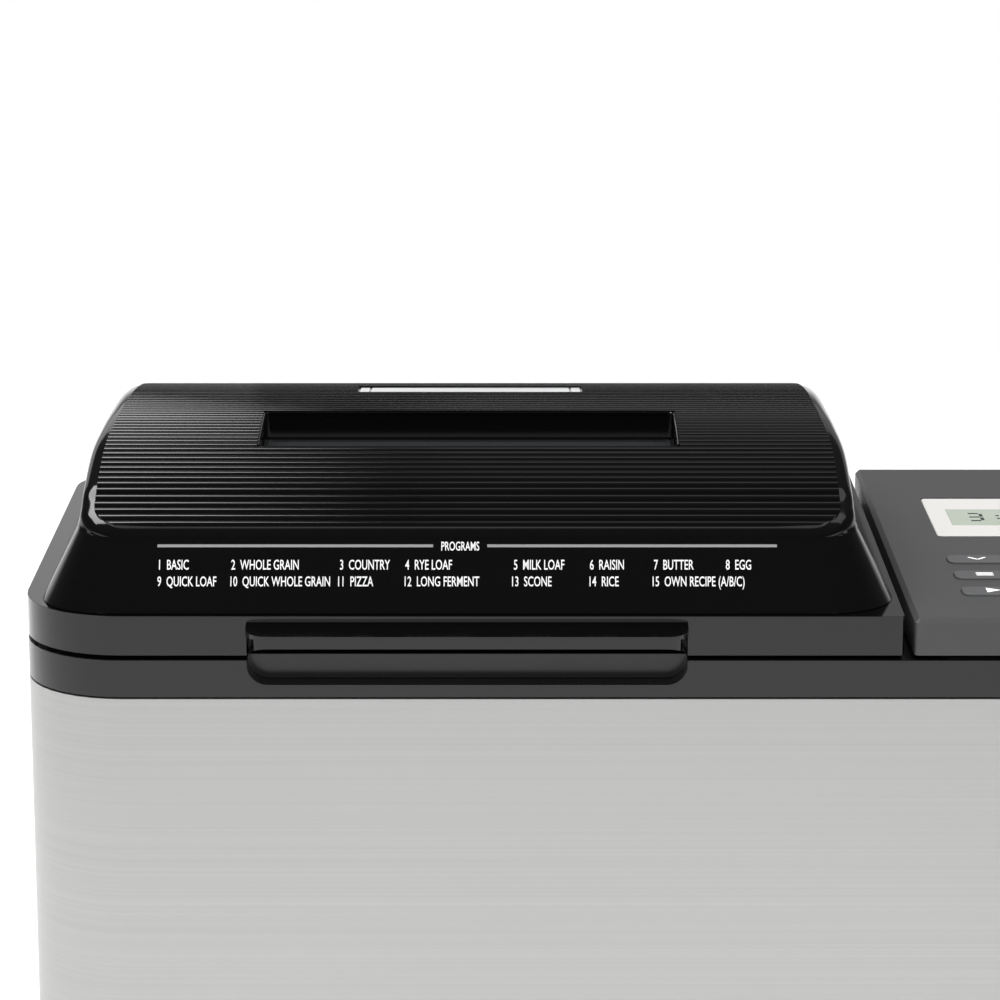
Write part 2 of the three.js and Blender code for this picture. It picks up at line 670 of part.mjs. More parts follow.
function kneadingPaddle(side, s) {
  const x = shaftX(s);
  const blade = new THREE.Shape();
  const tip = PADDLE_REACH - TIP_RADIUS;
  const shoulder = PADDLE_REACH - BLADE_LEAN - BLADE_SHOULDER;
  blade.moveTo(0, 0);
  blade.lineTo(tip, 0);
  blade.absarc(tip, TIP_RADIUS, TIP_RADIUS, -Math.PI / 2, 0);
  blade.lineTo(PADDLE_REACH - BLADE_LEAN, PADDLE_HEIGHT - BLADE_SHOULDER - 1);
  blade.absarc(shoulder, PADDLE_HEIGHT - BLADE_SHOULDER - 1, BLADE_SHOULDER, 0, Math.PI / 2);
  blade.lineTo(0, HUB_TOP - HUB_BOTTOM);
  const fin = new THREE.ExtrudeGeometry(blade, { depth: BLADE_THICKNESS, bevelEnabled: false, curveSegments: 2 })
    .rotateX(Math.PI / 2)
    .translate(0, BLADE_THICKNESS / 2, 0)
    .rotateZ(s < 0 ? Math.PI : 0)
    .translate(x, 0, HUB_BOTTOM);
  const hub = bar(x, 0, HUB_RADIUS, HUB_BOTTOM, HUB_TOP);
  const bore = bar(x, 0, SHAFT_RADIUS + GAP, HUB_BOTTOM - 1, HUB_TOP + 1);
  add(`kneading_paddle_${side}`, cut(join(hub, solid(fin)), bore), "coating");
}

// ---------- drive ----------
const BEARING_RADIUS = 9.7;
const BEARING_TOP = CHAMBER_FLOOR - GAP;

const CHASSIS_ROOM = 30; // from the plate to the outside
const CHASSIS_CORNER = 10;
const CHASSIS_PLATE = 1.6;
const MOTOR_HOLE_RADIUS = 12;

function chassisPlate() {
  const corners = [CHASSIS_CORNER, CHASSIS_CORNER, CHASSIS_CORNER, CHASSIS_CORNER];
  const plate = slab(
    outline(LEFT + CHASSIS_ROOM, RIGHT - CHASSIS_ROOM, FRONT + CHASSIS_ROOM, BACK - CHASSIS_ROOM, corners),
    CHASSIS_LEVEL,
    CHASSIS_LEVEL + CHASSIS_PLATE,
  );
  const holes = SIDES.map(([, s]) =>
    bar(shaftX(s), 0, BEARING_RADIUS + GAP, CHASSIS_LEVEL - 1, CHASSIS_LEVEL + 5),
  );
  const motorHole = bar(MOTOR_X, MOTOR_Y, MOTOR_HOLE_RADIUS, CHASSIS_LEVEL - 1, CHASSIS_LEVEL + 5);
  add("chassis_plate", cut(plate, ...holes, motorHole), "plated");
}

function shaftBearing(side, s) {
  add(
    `shaft_bearing_${side}`,
    ring(shaftX(s), 0, SHAFT_RADIUS + GAP, BEARING_RADIUS, CHASSIS_LEVEL - 3, BEARING_TOP),
    "steel",
  );
}

function driveShaft(side, s) {
  add(
    `drive_shaft_${side}`,
    bar(shaftX(s), 0, SHAFT_RADIUS, PADDLE_BELT_LEVEL - 3, DOG_BOTTOM - GAP),
    "steel",
  );
}

// A disc with two upright posts that push the wing under the pan.
function driveDog(side, s) {
  const x = shaftX(s);
  const disc = bar(x, 0, DOG_RADIUS, DOG_BOTTOM, DOG_BOTTOM + DOG_DISC);
  const inner = WING_WIDTH / 2 + 3;
  const tall = cut(
    bar(x, 0, DOG_RADIUS, DOG_BOTTOM + 1, WING_TOP),
    block(x - inner, x + inner, -DOG_RADIUS - 1, DOG_RADIUS + 1, DOG_BOTTOM, WING_TOP + 1),
    block(x - 30, x + 30, 7, 30, DOG_BOTTOM, WING_TOP + 1),
    block(x - 30, x + 30, -30, -7, DOG_BOTTOM, WING_TOP + 1),
  );
  add(`drive_dog_${side}`, join(disc, tall), "steel");
}

// One grooved wheel's section, as corners going round it; r is where the belt sits.
function grooveCorners(bore, r, level) {
  const wall = 1;
  const edge = r + PULLEY_FLANGE;
  const top = level + PULLEY_WIDTH;
  return [
    [bore, level],
    [edge, level],
    [edge, level + wall],
    [r, level + wall],
    [r, top - wall],
    [edge, top - wall],
    [edge, top],
    [bore, top],
    [bore, level],
  ];
}

function drivePulley(side, s) {
  const bore = SHAFT_RADIUS + GAP;
  let wheel = turned(shaftX(s), 0, grooveCorners(bore, PULLEY_RADIUS, PADDLE_BELT_LEVEL));
  if (s > 0) {
    const main = turned(
      shaftX(s),
      0,
      grooveCorners(bore, MAIN_PULLEY_RADIUS, MOTOR_BELT_LEVEL),
      TURNED_SIDES,
    );
    const neck = ring(
      shaftX(s),
      0,
      bore,
      bore + 8,
      PADDLE_BELT_LEVEL + PULLEY_WIDTH - 1,
      MOTOR_BELT_LEVEL + 1,
    );
    wheel = join(wheel, neck, main);
  }
  add(`drive_pulley_${side}`, wheel, "plastic");
}

const MOTOR_FLANGE = 6;
const MOTOR_SHOULDER = 6;
const MOTOR_NOSE_RADIUS = 13;

function motor() {
  const foot = CHASSIS_LEVEL + CHASSIS_PLATE + GAP;
  const boreR = SHAFT_RADIUS + GAP;
  const top = foot + MOTOR_HEIGHT;
  const can = turned(MOTOR_X, MOTOR_Y, [
    [boreR, foot],
    [MOTOR_RADIUS + MOTOR_FLANGE, foot],
    [MOTOR_RADIUS + MOTOR_FLANGE, foot + MOTOR_FLANGE / 2],
    [MOTOR_RADIUS, foot + MOTOR_FLANGE / 2],
    [MOTOR_RADIUS, top - 2 * MOTOR_SHOULDER],
    [MOTOR_RADIUS - MOTOR_SHOULDER, top - MOTOR_SHOULDER],
    [MOTOR_NOSE_RADIUS, top],
    [boreR, top],
    [boreR, foot],
  ]);
  add("motor_body", can, "plated");
  const shaft = bar(MOTOR_X, MOTOR_Y, SHAFT_RADIUS, MOTOR_BELT_LEVEL - 2, top + 3);
  add("motor_shaft", shaft, "steel");
  const wheel = turned(
    MOTOR_X,
    MOTOR_Y,
    grooveCorners(SHAFT_RADIUS + GAP, MOTOR_PULLEY_RADIUS, MOTOR_BELT_LEVEL),
  );
  add("motor_pulley", wheel, "steel");
}

// A belt round two wheels: two arcs joined by the straight runs that touch both.
function beltShape(a, rA, b, rB) {
  const lean = Math.acos((rA - rB) / a.distanceTo(b));
  const heading = Math.atan2(b.y - a.y, b.x - a.x);
  const shape = new THREE.Path();
  shape.absarc(a.x, a.y, rA, heading + lean, heading - lean + 2 * Math.PI);
  shape.absarc(b.x, b.y, rB, heading - lean, heading + lean);
  shape.closePath();
  return shape;
}

function belt(name, a, rA, b, rB, level) {
  const margin = 1 + GAP;
  const inA = rA + BELT_CLEARANCE;
  const inB = rB + BELT_CLEARANCE;
  const outerPath = beltShape(a, inA + BELT_THICKNESS, b, inB + BELT_THICKNESS);
  const shape = new THREE.Shape(outerPath.getPoints(BELT_STEPS));
  shape.holes.push(new THREE.Path(beltShape(a, inA, b, inB).getPoints(BELT_STEPS)));
  const made = new THREE.ExtrudeGeometry(shape, {
    depth: PULLEY_WIDTH - 2 * margin,
    bevelEnabled: false,
  }).translate(0, 0, level + margin);
  add(name, solid(made), "belt");
}

function belts() {
  const left = new THREE.Vector2(shaftX(-1), 0);
  const right = new THREE.Vector2(shaftX(1), 0);
  const motorAt = new THREE.Vector2(MOTOR_X, MOTOR_Y);
  belt("paddle_belt", left, PULLEY_RADIUS, right, PULLEY_RADIUS, PADDLE_BELT_LEVEL);
  belt("motor_belt", right, MAIN_PULLEY_RADIUS, motorAt, MOTOR_PULLEY_RADIUS, MOTOR_BELT_LEVEL);
}

// ---------- boards ----------
function powerBoard() {
  const x0 = RIGHT - 24;
  const x1 = x0 + 0.5;
  const top = BAND_BOTTOM - 6.2;
  const board = block(x0, x0 + 1.6, -70, 60, top - 85, top);
  const coil = block(x0 - 26, x1, -60, -25, top - 70, top - 35);
  const relay = block(x0 - 16, x1, 10, 30, top - 65, top - 40);
  const capacitor = crossBar(x0 - 24, x1, -5, top - 25, 9);
  add("power_board", join(board, coil, relay, capacitor), "board");
}

const BOARD_LEVEL = BAND_TOP + SEAM + GAP;
const BUTTON_ROWS = 3;
const buttonY = (row) => FRONT + BUTTON_FIRST_ROW + row * BUTTON_PITCH;
const buttonX = (s) => PANEL_MIDDLE + s * BUTTON_COLUMN;
const BUTTON_BOTTOM = PANEL_TOP - SHELL - 2;
const displayOutline = outline(
  PANEL_LEFT + DISPLAY_MARGIN,
  RIGHT - DISPLAY_MARGIN,
  FRONT + DISPLAY_FRONT,
  FRONT + DISPLAY_FRONT + DISPLAY_DEPTH,
  [2, 2, 2, 2],
);

// The board under the panel, with a switch under each button.
function controlBoard() {
  const board = block(PANEL_LEFT + 10, RIGHT - 10, FRONT + 26, BACK - 40, BOARD_LEVEL, BOARD_LEVEL + 1.6);
  const switchTop = BUTTON_BOTTOM - BUTTON_TRAVEL - GAP;
  const switches = [];
  for (const [, s] of SIDES)
    for (let row = 0; row < BUTTON_ROWS; row++) {
      const x = buttonX(s);
      const y = buttonY(row);
      switches.push(block(x - 3, x + 3, y - 3, y + 3, BOARD_LEVEL + 1, switchTop - 1));
      switches.push(bar(x, y, 1.6, BOARD_LEVEL + 1, switchTop, 8));
    }
  add("control_board", join(board, ...switches), "board");
}

function displayParts() {
  const module = grown(displayOutline, -1.5);
  const moduleTop = PANEL_TOP - SHELL - 0.5;
  add("display_module", slab(module, BOARD_LEVEL + 1.6 + GAP, moduleTop, SMALL_STEPS), "pale");
  add(
    "display_window",
    slab(grown(displayOutline, -GAP), PANEL_TOP - SHELL + GAP, PANEL_TOP - GAP, SMALL_STEPS),
    "pale",
  );
}

const buttonOutline = (s, row) =>
  centred(buttonX(s), buttonY(row), BUTTON_WIDTH / 2, BUTTON_LENGTH / 2, 3);

function controlPanelCover() {
  const z0 = FRAME_BOTTOM;
  const chamfer = 1.7;
  const block0 = slab(panelOutline, z0, PANEL_TOP - chamfer);
  const bevel = tapered(
    panelOutline,
    PANEL_TOP - chamfer - 0.01,
    grown(panelOutline, -chamfer),
    PANEL_TOP,
  );
  const hollow = slab(grown(panelOutline, -SHELL), z0 - 1, PANEL_TOP - SHELL);
  const slots = [];
  for (const [, s] of SIDES)
    for (let row = 0; row < BUTTON_ROWS; row++)
      slots.push(slab(grown(buttonOutline(s, row), GAP), PANEL_TOP - 10, PANEL_TOP + 1, SMALL_STEPS));
  const view = slab(displayOutline, PANEL_TOP - 10, PANEL_TOP + 1, SMALL_STEPS);
  add("control_panel_cover", cut(join(block0, bevel), hollow, view, ...slots), "panel");
}

const BUTTON_NAMES = [
  ["button_start", -1, 0],
  ["button_cancel", 1, 0],
  ["button_crust", -1, 1],
  ["button_timer", 1, 1],
  ["button_course_down", -1, 2],
  ["button_course_up", 1, 2],
];

// Each cap has a skirt below the panel that stops it from coming out.
function buttons() {
  for (const [name, s, row] of BUTTON_NAMES) {
    const o = buttonOutline(s, row);
    const cap = slab(o, BUTTON_BOTTOM, PANEL_TOP + BUTTON_PROUD, SMALL_STEPS);
    const skirt = slab(grown(o, 1.5), BUTTON_BOTTOM, PANEL_TOP - SHELL - GAP, SMALL_STEPS);
    add(name, join(cap, skirt), "pale");
  }
}

// ---------- lid ----------
function lidFrame() {
  const rimPlate = 2.5;
  const shell = cut(
    slab(lidOutline, FRAME_BOTTOM, FRAME_TOP, FINE_STEPS),
    slab(grown(lidOutline, -SHELL), FRAME_BOTTOM - 1, FRAME_TOP - rimPlate, FINE_STEPS),
  );
  const flangeInner = grown(domeFoot(0), -12);
  const pullWall = slab(pullBack(PULL_WALL), FRAME_BOTTOM, FRAME_TOP);
  const recess = slab(
    pullOutline(1, PULL_RECESS, SHARP, LIP_CORNER),
    FRAME_BOTTOM - 1,
    FRAME_TOP - LIP_BOTTOM_DROP,
  );
  add(
    "lid_frame",
    join(
      cut(join(shell, pullWall), recess, slab(flangeInner, FRAME_BOTTOM - 1, FRAME_TOP + 1)),
      pullLip(),
    ),
    "gloss",
  );
}

// The outline of the wall behind the recess, this much thicker than the recess all round.
function pullBack(by) {
  const o = pullOutline(0, PULL_RECESS + by, SHARP, LIP_CORNER);
  return outline(o.x0 - by, o.x1 + by, o.y0, o.y1, o.radii);
}

// The lip falls away slightly to its front edge, and its front corners are round.
function pullLip() {
  const plan = pullOutline(LIP_REACH, 1.5, LIP_CORNER, SHARP);
  const tall = slab(plan, FRAME_TOP - LIP_BOTTOM_DROP, FRAME_TOP);
  const slope = (LIP_EDGE_DROP - LIP_TOP_DROP) / LIP_REACH;
  const above = new THREE.Shape();
  above.moveTo(-LIP_REACH - 1, -LIP_EDGE_DROP - slope);
  above.lineTo(0, -LIP_TOP_DROP);
  above.lineTo(0, 2);
  above.lineTo(-LIP_REACH - 1, 2);
  const wedge = new THREE.ExtrudeGeometry(above, { depth: 2 * PULL_HALF_WIDTH + 4, bevelEnabled: false })
    .rotateX(Math.PI / 2)
    .rotateZ(Math.PI / 2)
    .translate(DOME_X - PULL_HALF_WIDTH - 2, FRONT, FRAME_TOP);
  return cut(tall, solid(wedge));
}

// The dome's plan outline at its foot, in from the lid frame's edges.
const DOME_FRONT = FRONT + DOME_FRONT_FLANGE;
const DOME_BACK = LID_BACK - DOME_BACK_FLANGE;
const DOME_FOOT_CORNER = 28;
function domeFoot(inset) {
  const corner = DOME_FOOT_CORNER;
  const x0 = DOME_X - DOME_HALF_WIDTH;
  const x1 = DOME_X + DOME_HALF_WIDTH;
  return grown(outline(x0, x1, DOME_FRONT, DOME_BACK, [corner, corner, corner, corner]), -inset);
}

// Stations from front to back: share of the way, drop below the dome's top, and how far the
// shoulder is in from the foot there.
const STATIONS = [
  [0.073, 21.6, 14.9],
  [0.178, 10.6, 15.1],
  [0.306, 3.2, 15.7],
  [0.433, 0.2, 17.2],
  [0.56, 0, 18.6],
  [0.688, 1.7, 20.8],
  [0.794, 4.5, 23.4],
  [0.858, 6.9, 25.4],
  [0.917, 10.3, 28.4],
];
const SHOULDER = 7;
const CREST_CORNER = 14; // extra inset where the front face turns into the top
const alongDome = (share) => DOME_FRONT + share * (DOME_BACK - DOME_FRONT);

// How far the dome's middle line is below its top at a place behind the front face.
function domeDropAt(y) {
  const next = STATIONS.findIndex(([share]) => alongDome(share) > y);
  const [shareA, dropA] = STATIONS[next - 1];
  const [shareB, dropB] = STATIONS[next];
  const part = (y - alongDome(shareA)) / (alongDome(shareB) - alongDome(shareA));
  return dropA + part * (dropB - dropA);
}

// The whole solid under the dome's skin, set in by a wall.
function domeBlock(inset) {
  const foot = FRAME_TOP + GAP - (inset ? 1 : 0);
  const points = outlinePoints(domeFoot(inset), foot);
  const last = STATIONS.length - 1;
  STATIONS.forEach(([share, drop, shoulder], i) => {
    const y = alongDome(share) + (i === 0 ? inset : 0) - (i === last ? inset : 0);
    const z = HEIGHT - drop - inset;
    const half = DOME_HALF_WIDTH - shoulder - inset;
    const section = i === 0 ? [[SHOULDER + CREST_CORNER, 0]] : [[SHOULDER, 0], [2, 2], [0, SHOULDER]];
    for (const [into, down] of section)
      for (const [, s] of SIDES) points.push(new THREE.Vector3(DOME_X + s * (half - into), y, z - down));
  });
  // Below the crease the front face leans back from the foot; behind, the wall drops steeply.
  const ledge = (sideInset, front, back, corners) => {
    const half = DOME_HALF_WIDTH - sideInset - inset;
    return outline(DOME_X - half, DOME_X + half, DOME_FRONT + front + inset, DOME_BACK - back - inset, corners);
  };
  const crease = ledge(13.9, 12.5, 7.5, [15, 15, 30, 30]);
  const rear = ledge(32.4, 147, 11.5, [8, 8, 24, 24]);
  points.push(...outlinePoints(crease, HEIGHT - 26 - inset));
  points.push(...outlinePoints(rear, HEIGHT - 17.5 - inset));
  return solid(new ConvexGeometry(points));
}

const wellBottom = HEIGHT - WELL_GLASS_DROP - GLASS - GAP;
const wellOutline = outline(
  DOME_X - WELL_HALF_WIDTH,
  DOME_X + WELL_HALF_WIDTH,
  FRONT + WELL_FRONT,
  FRONT + WELL_BACK,
  [4, 4, 4, 4],
);

function lidDome() {
  const outer = domeBlock(0);
  const shell = cut(outer, domeBlock(DOME_WALL));
  const wellWall = slab(grown(wellOutline, WELL_WALL), wellBottom - WELL_WALL, HEIGHT);
  const dome = cut(
    join(shell, wellWall.intersect(outer)),
    slab(wellOutline, wellBottom, HEIGHT + 5),
    slab(grown(wellOutline, -WELL_LEDGE), wellBottom - 10, HEIGHT + 5),
    badgeBlock(GAP, 3, BADGE_THICKNESS - BADGE_PROUD + GAP),
  );
  add("lid_dome", dome, "gloss");
}

// The badge lies in a shallow recess that follows the dome's fall to the back.
function badgeBlock(clearance, above, below) {
  const front = FRONT + BADGE_FRONT;
  const back = front + BADGE_DEPTH;
  const fall = domeDropAt(back) - domeDropAt(front);
  const size = [BADGE_HALF_WIDTH + clearance, BADGE_DEPTH / 2 + clearance];
  const box = new THREE.BoxGeometry(2 * size[0], 2 * size[1], above + below)
    .translate(0, 0, (above - below) / 2)
    .rotateX(-Math.atan2(fall, BADGE_DEPTH))
    .translate(DOME_X, (front + back) / 2, HEIGHT - (domeDropAt(front) + domeDropAt(back)) / 2);
  return solid(box);
}

function badgePlate() {
  add("badge_plate", badgeBlock(0, BADGE_PROUD, BADGE_THICKNESS - BADGE_PROUD), "silver");
}

function windowGlasses() {
  const glassBottom = wellBottom + GAP;
  add(
    "window_outer_glass",
    slab(grown(wellOutline, -GAP), glassBottom, glassBottom + GLASS, SMALL_STEPS),
    "glass",
  );
  const inner = LINER_CEILING + SHEET + GAP;
  add("window_inner_glass", slab(grown(wellOutline, -1), inner, inner + GLASS, SMALL_STEPS), "glass");
}

const linerHollow = grown(chamberOutline, -LINER_MARGIN);

function lidLiner() {
  const z0 = FRAME_BOTTOM + GAP;
  const tray = cut(
    slab(grown(linerHollow, SHEET), z0, LINER_CEILING + SHEET),
    slab(linerHollow, z0 - 1, LINER_CEILING),
    slab(grown(wellOutline, -WELL_LEDGE), LINER_CEILING - 1, LINER_CEILING + 5),
  );
  const flange = cut(
    slab(grown(lidOutline, -SHELL - GAP), z0, z0 + SHEET, FINE_STEPS),
    slab(linerHollow, z0 - 1, z0 + 5),
    slab(pullBack(PULL_WALL + GAP), z0 - 1, z0 + 5),
  );
  add("lid_liner", join(tray, flange), "plated");
}

function lidGasket() {
  const gasket = cut(
    slab(grown(chamberOutline, 2), BAND_TOP + GAP, FRAME_BOTTOM),
    slab(grown(chamberOutline, -1.5), BAND_TOP, FRAME_BOTTOM + 1),
  );
  add("lid_gasket", gasket, "rubber");
}

// ---------- hinges ----------
const hingeX = (s) => DOME_X + s * HINGE_SPREAD;
const BRACKET_FOOT = 1.5;

function hingeBracket(side, s) {
  const x = hingeX(s);
  const half = KNUCKLE_WIDTH / 2 + GAP + EAR;
  const z0 = BAND_TOP + GAP;
  const foot = block(x - half, x + half, HINGE_Y - 5, HINGE_Y + 5.5, z0, z0 + BRACKET_FOOT);
  const tower = join(
    block(x - half, x + half, HINGE_Y - 4.5, HINGE_Y + 4.5, z0, HINGE_Z),
    crossBar(x - half, x + half, HINGE_Y, HINGE_Z, 4.5),
  );
  const slot = block(
    x - half + EAR,
    x + half - EAR,
    HINGE_Y - 10,
    HINGE_Y + 10,
    z0 + BRACKET_FOOT,
    HINGE_Z + 10,
  );
  const bore = crossBar(x - half - 1, x + half + 1, HINGE_Y, HINGE_Z, HINGE_PIN_RADIUS + GAP);
  add(`hinge_bracket_${side}`, cut(join(foot, tower), slot, bore), "steel");
}

function hingePin(side, s) {
  const half = KNUCKLE_WIDTH / 2 + GAP + EAR + 1;
  const x = hingeX(s);
  add(`hinge_pin_${side}`, crossBar(x - half, x + half, HINGE_Y, HINGE_Z, HINGE_PIN_RADIUS), "steel");
}

// The knuckle stands behind the lid frame on a short plate screwed to its back wall.
function hingeArm(side, s) {
  const x = hingeX(s);
  const half = KNUCKLE_WIDTH / 2;
  const plate = block(x - half, x + half, LID_BACK + GAP, LID_BACK + GAP + 1.6, FRAME_BOTTOM + 1, FRAME_TOP - 1);
  const web = block(x - half, x + half, LID_BACK + GAP + 1, HINGE_Y, HINGE_Z - 1.5, HINGE_Z + KNUCKLE_RADIUS);
  const knuckle = crossBar(x - half, x + half, HINGE_Y, HINGE_Z, KNUCKLE_RADIUS);
  const bore = crossBar(x - half - 1, x + half + 1, HINGE_Y, HINGE_Z, HINGE_PIN_RADIUS + GAP);
  add(`hinge_arm_${side}`, cut(join(plate, web, knuckle), bore), "steel");
}

// ---------- assembly ----------
baseTray();
feet();
outerWrap();
rearCover();
cordGland();
topFrame();
bakingChamber();
mainHeater();
temperatureSensor();
panSeat();
chassisPlate();
motor();
belts();
powerBoard();
controlBoard();
displayParts();
controlPanelCover();
buttons();
panBase();
breadPan();
panHandle();
for (const [side, s] of SIDES) {
  shaftBearing(side, s);
  driveShaft(side, s);
  driveDog(side, s);
  drivePulley(side, s);
  panBush(side, s);
  panShaft(side, s);
  kneadingPaddle(side, s);
  hingeBracket(side, s);
  hingePin(side, s);
  hingeArm(side, s);
}
lidFrame();
lidDome();
badgePlate();
windowGlasses();
lidLiner();
lidGasket();

export default machine;
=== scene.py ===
# %% [markdown]
# # A bread machine with a domed, reeded lid
# The CAD model is the fixed frame: it says where everything is and how it moves. This file gives it
# its looks. Each step says what a piece is on the real machine, how it could be made, and why this
# way was chosen. Everything is in metres, the front faces -Y, and every piece sits at the origin.

# %% The frame
import json
import math

import bmesh
import bpy
from mathutils import Matrix, Vector

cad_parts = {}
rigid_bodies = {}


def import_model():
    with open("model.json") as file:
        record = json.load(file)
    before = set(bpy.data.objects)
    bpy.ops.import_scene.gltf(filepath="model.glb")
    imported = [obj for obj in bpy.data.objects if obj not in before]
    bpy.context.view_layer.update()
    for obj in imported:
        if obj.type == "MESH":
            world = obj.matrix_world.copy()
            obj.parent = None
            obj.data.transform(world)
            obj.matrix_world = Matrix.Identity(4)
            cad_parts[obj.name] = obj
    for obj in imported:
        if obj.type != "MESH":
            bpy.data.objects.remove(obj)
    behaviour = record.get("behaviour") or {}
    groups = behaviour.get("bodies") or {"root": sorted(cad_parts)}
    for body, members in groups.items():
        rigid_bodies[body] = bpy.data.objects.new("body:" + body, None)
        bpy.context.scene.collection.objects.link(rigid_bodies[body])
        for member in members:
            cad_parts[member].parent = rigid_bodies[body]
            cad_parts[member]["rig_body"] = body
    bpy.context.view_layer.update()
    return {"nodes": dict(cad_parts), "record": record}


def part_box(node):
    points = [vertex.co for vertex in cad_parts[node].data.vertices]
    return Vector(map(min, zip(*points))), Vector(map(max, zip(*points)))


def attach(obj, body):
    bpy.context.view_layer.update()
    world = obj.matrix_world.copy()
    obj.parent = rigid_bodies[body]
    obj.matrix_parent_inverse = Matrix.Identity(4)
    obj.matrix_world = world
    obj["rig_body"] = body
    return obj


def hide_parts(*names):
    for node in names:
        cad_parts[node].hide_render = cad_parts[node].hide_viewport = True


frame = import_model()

MM = 0.001
NODES = frame["nodes"]
SLOT_OF = {part["node"]: part["material_slot"] for part in frame["record"]["subparts"]}

# %% [markdown]
# ## The camera
# A long lens from far away keeps the machine's level lines level, as a catalogue picture does. The
# camera looks down a little, so that the reeded top of the lid shows as a narrow band.

# %% Camera
LID_LOW, LID_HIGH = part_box("lid_dome")
BODY_LOW, BODY_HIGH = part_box("outer_wrap")
LID_MIDDLE = (LID_LOW.x + LID_HIGH.x) / 2
FRONT = BODY_LOW.y
FRAME_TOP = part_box("lid_frame")[1].z
CAMERA_ASIDE = 12.6 * MM
CAMERA_BACK = 1.395
CAMERA_UP = 0.382
CAMERA_PITCH = 13.55
LENS = 136.2

camera_data = bpy.data.cameras.new("camera")
camera_data.lens = LENS
camera_data.sensor_width = 36
camera_data.clip_end = 50
camera = bpy.data.objects.new("camera", camera_data)
camera.location = (LID_MIDDLE + CAMERA_ASIDE, FRONT - CAMERA_BACK, FRAME_TOP + CAMERA_UP)
camera.rotation_euler = (math.radians(90 - CAMERA_PITCH), 0, 0)
bpy.context.scene.collection.objects.link(camera)
bpy.context.scene.camera = camera
print("camera at", [round(v, 3) for v in camera.location])

# %% [markdown]
# ## Light
# Black gloss shows nothing but what it reflects, so the light is made of large plain shapes. A wide
# soft box overhead lights the floor and the matte pieces, but no mirror shows it. A small bright box
# high behind the lid's left half draws the streaks on the reeds, and a faint one does the same at the
# right. Two low boxes far behind, the left one brighter, lighten the top of the dome.

# %% Lights and floor
scene = bpy.context.scene
scene.view_settings.view_transform = "Standard"


def soft_box(name, place, target, size, radiance, tone=(1, 1, 1)):
    """An area light of an even radiance that faces a point."""
    lamp = bpy.data.lights.new(name, "AREA")
    lamp.shape = "RECTANGLE"
    lamp.size, lamp.size_y = size
    lamp.energy = radiance * math.pi * size[0] * size[1]
    lamp.color = tone
    holder = bpy.data.objects.new(name, lamp)
    holder.location = place
    holder.rotation_euler = (Vector(target) - Vector(place)).to_track_quat("-Z", "Y").to_euler()
    scene.collection.objects.link(holder)
    return holder


overhead = soft_box("overhead", (0.0, -0.2, 2.4), (0, 0, 0), (4.4, 4.0), 2.9)
overhead.visible_glossy = False
soft_box("reed_light", (-0.60, 0.45, 1.7), (-0.4, 0, 0.3), (0.75, 0.6), 6.5)
soft_box("faint_ceiling", (0.45, 0.45, 1.7), (0.3, 0, 0.3), (1.2, 0.35), 0.9)
soft_box("left_back", (-0.80, 1.6, 0.76), (-0.8, 0, 0.3), (1.1, 0.42), 0.7)
soft_box("right_back", (0.55, 1.6, 0.76), (0.55, 0, 0.3), (1.6, 0.42), 0.22)

# Height and brightness: white at and under the horizon, dark above it.
SKY = ((0.0, 1.0), (0.50, 1.0), (0.56, 0.10), (0.75, 0.05), (1.0, 0.10))
FRONT_LIFT = 0.36  # the white reaches this much higher in front, for the steel to mirror
world = bpy.data.worlds.new("studio")
scene.world = world
world.use_nodes = True

# %% [markdown]
# ## Node arithmetic
# A shader or a Geometry Nodes tree is a formula. `Wire` wraps an output socket and overloads the
# arithmetic, so that `1 - mask * 0.5` adds its own Math nodes. `Tree.node` adds any other node from
# its type, its settings and the values or wires of its inputs.


# %% Wires and trees
class Wire:
    """One output socket, with arithmetic that adds Math nodes to its tree."""

    def __init__(self, tree, socket):
        self.tree = tree
        self.socket = socket

    def maths(self, operation, first, second=0.0):
        return self.tree.node("ShaderNodeMath", {"operation": operation}, {0: first, 1: second})

    def __add__(self, other):
        return self.maths("ADD", self, other)

    def __sub__(self, other):
        return self.maths("SUBTRACT", self, other)

    def __rsub__(self, other):
        return self.maths("SUBTRACT", other, self)

    def __mul__(self, other):
        return self.maths("MULTIPLY", self, other)

    def __gt__(self, other):
        return self.maths("GREATER_THAN", self, other)

    def __lt__(self, other):
        return self.maths("LESS_THAN", self, other)

    def __abs__(self):
        return self.maths("ABSOLUTE", self)

    def fraction(self):
        return self.maths("FRACT", self)

    def sign(self):
        return self.maths("SIGN", self)

    def least(self, other):
        return self.maths("MINIMUM", self, other)

    def most(self, other):
        return self.maths("MAXIMUM", self, other)

    __radd__ = __add__
    __rmul__ = __mul__


class Tree:
    """A node tree that is filled one node at a time."""

    def __init__(self, nodes):
        self.nodes = nodes

    def node(self, kind, settings=None, inputs=None, output=0):
        made = self.nodes.nodes.new(kind)
        for name, value in (settings or {}).items():
            if name == "stops":
                self.fill_ramp(made.color_ramp, value)
            else:
                setattr(made, name, value)
        for key, value in (inputs or {}).items():
            self.plug(value, made.inputs[key])
        return Wire(self, made.outputs[output])

    def fill_ramp(self, ramp, stops):
        while len(ramp.elements) < len(stops):
            ramp.elements.new(0.5)
        for element, (place, shade) in zip(ramp.elements, stops):
            element.position = place
            element.color = (*shade, 1) if isinstance(shade, tuple) else (shade, shade, shade, 1)

    def plug(self, value, socket):
        if isinstance(value, Wire):
            self.nodes.links.new(value.socket, socket)
        else:
            socket.default_value = value


# %% [markdown]
# The studio's air is a gradient by height. It is white at the horizon, behind the floor's far edge,
# and dark higher up, so that the leaning black face has something dark to mirror. In front of the
# machine the white reaches higher, and the steel mirrors it.

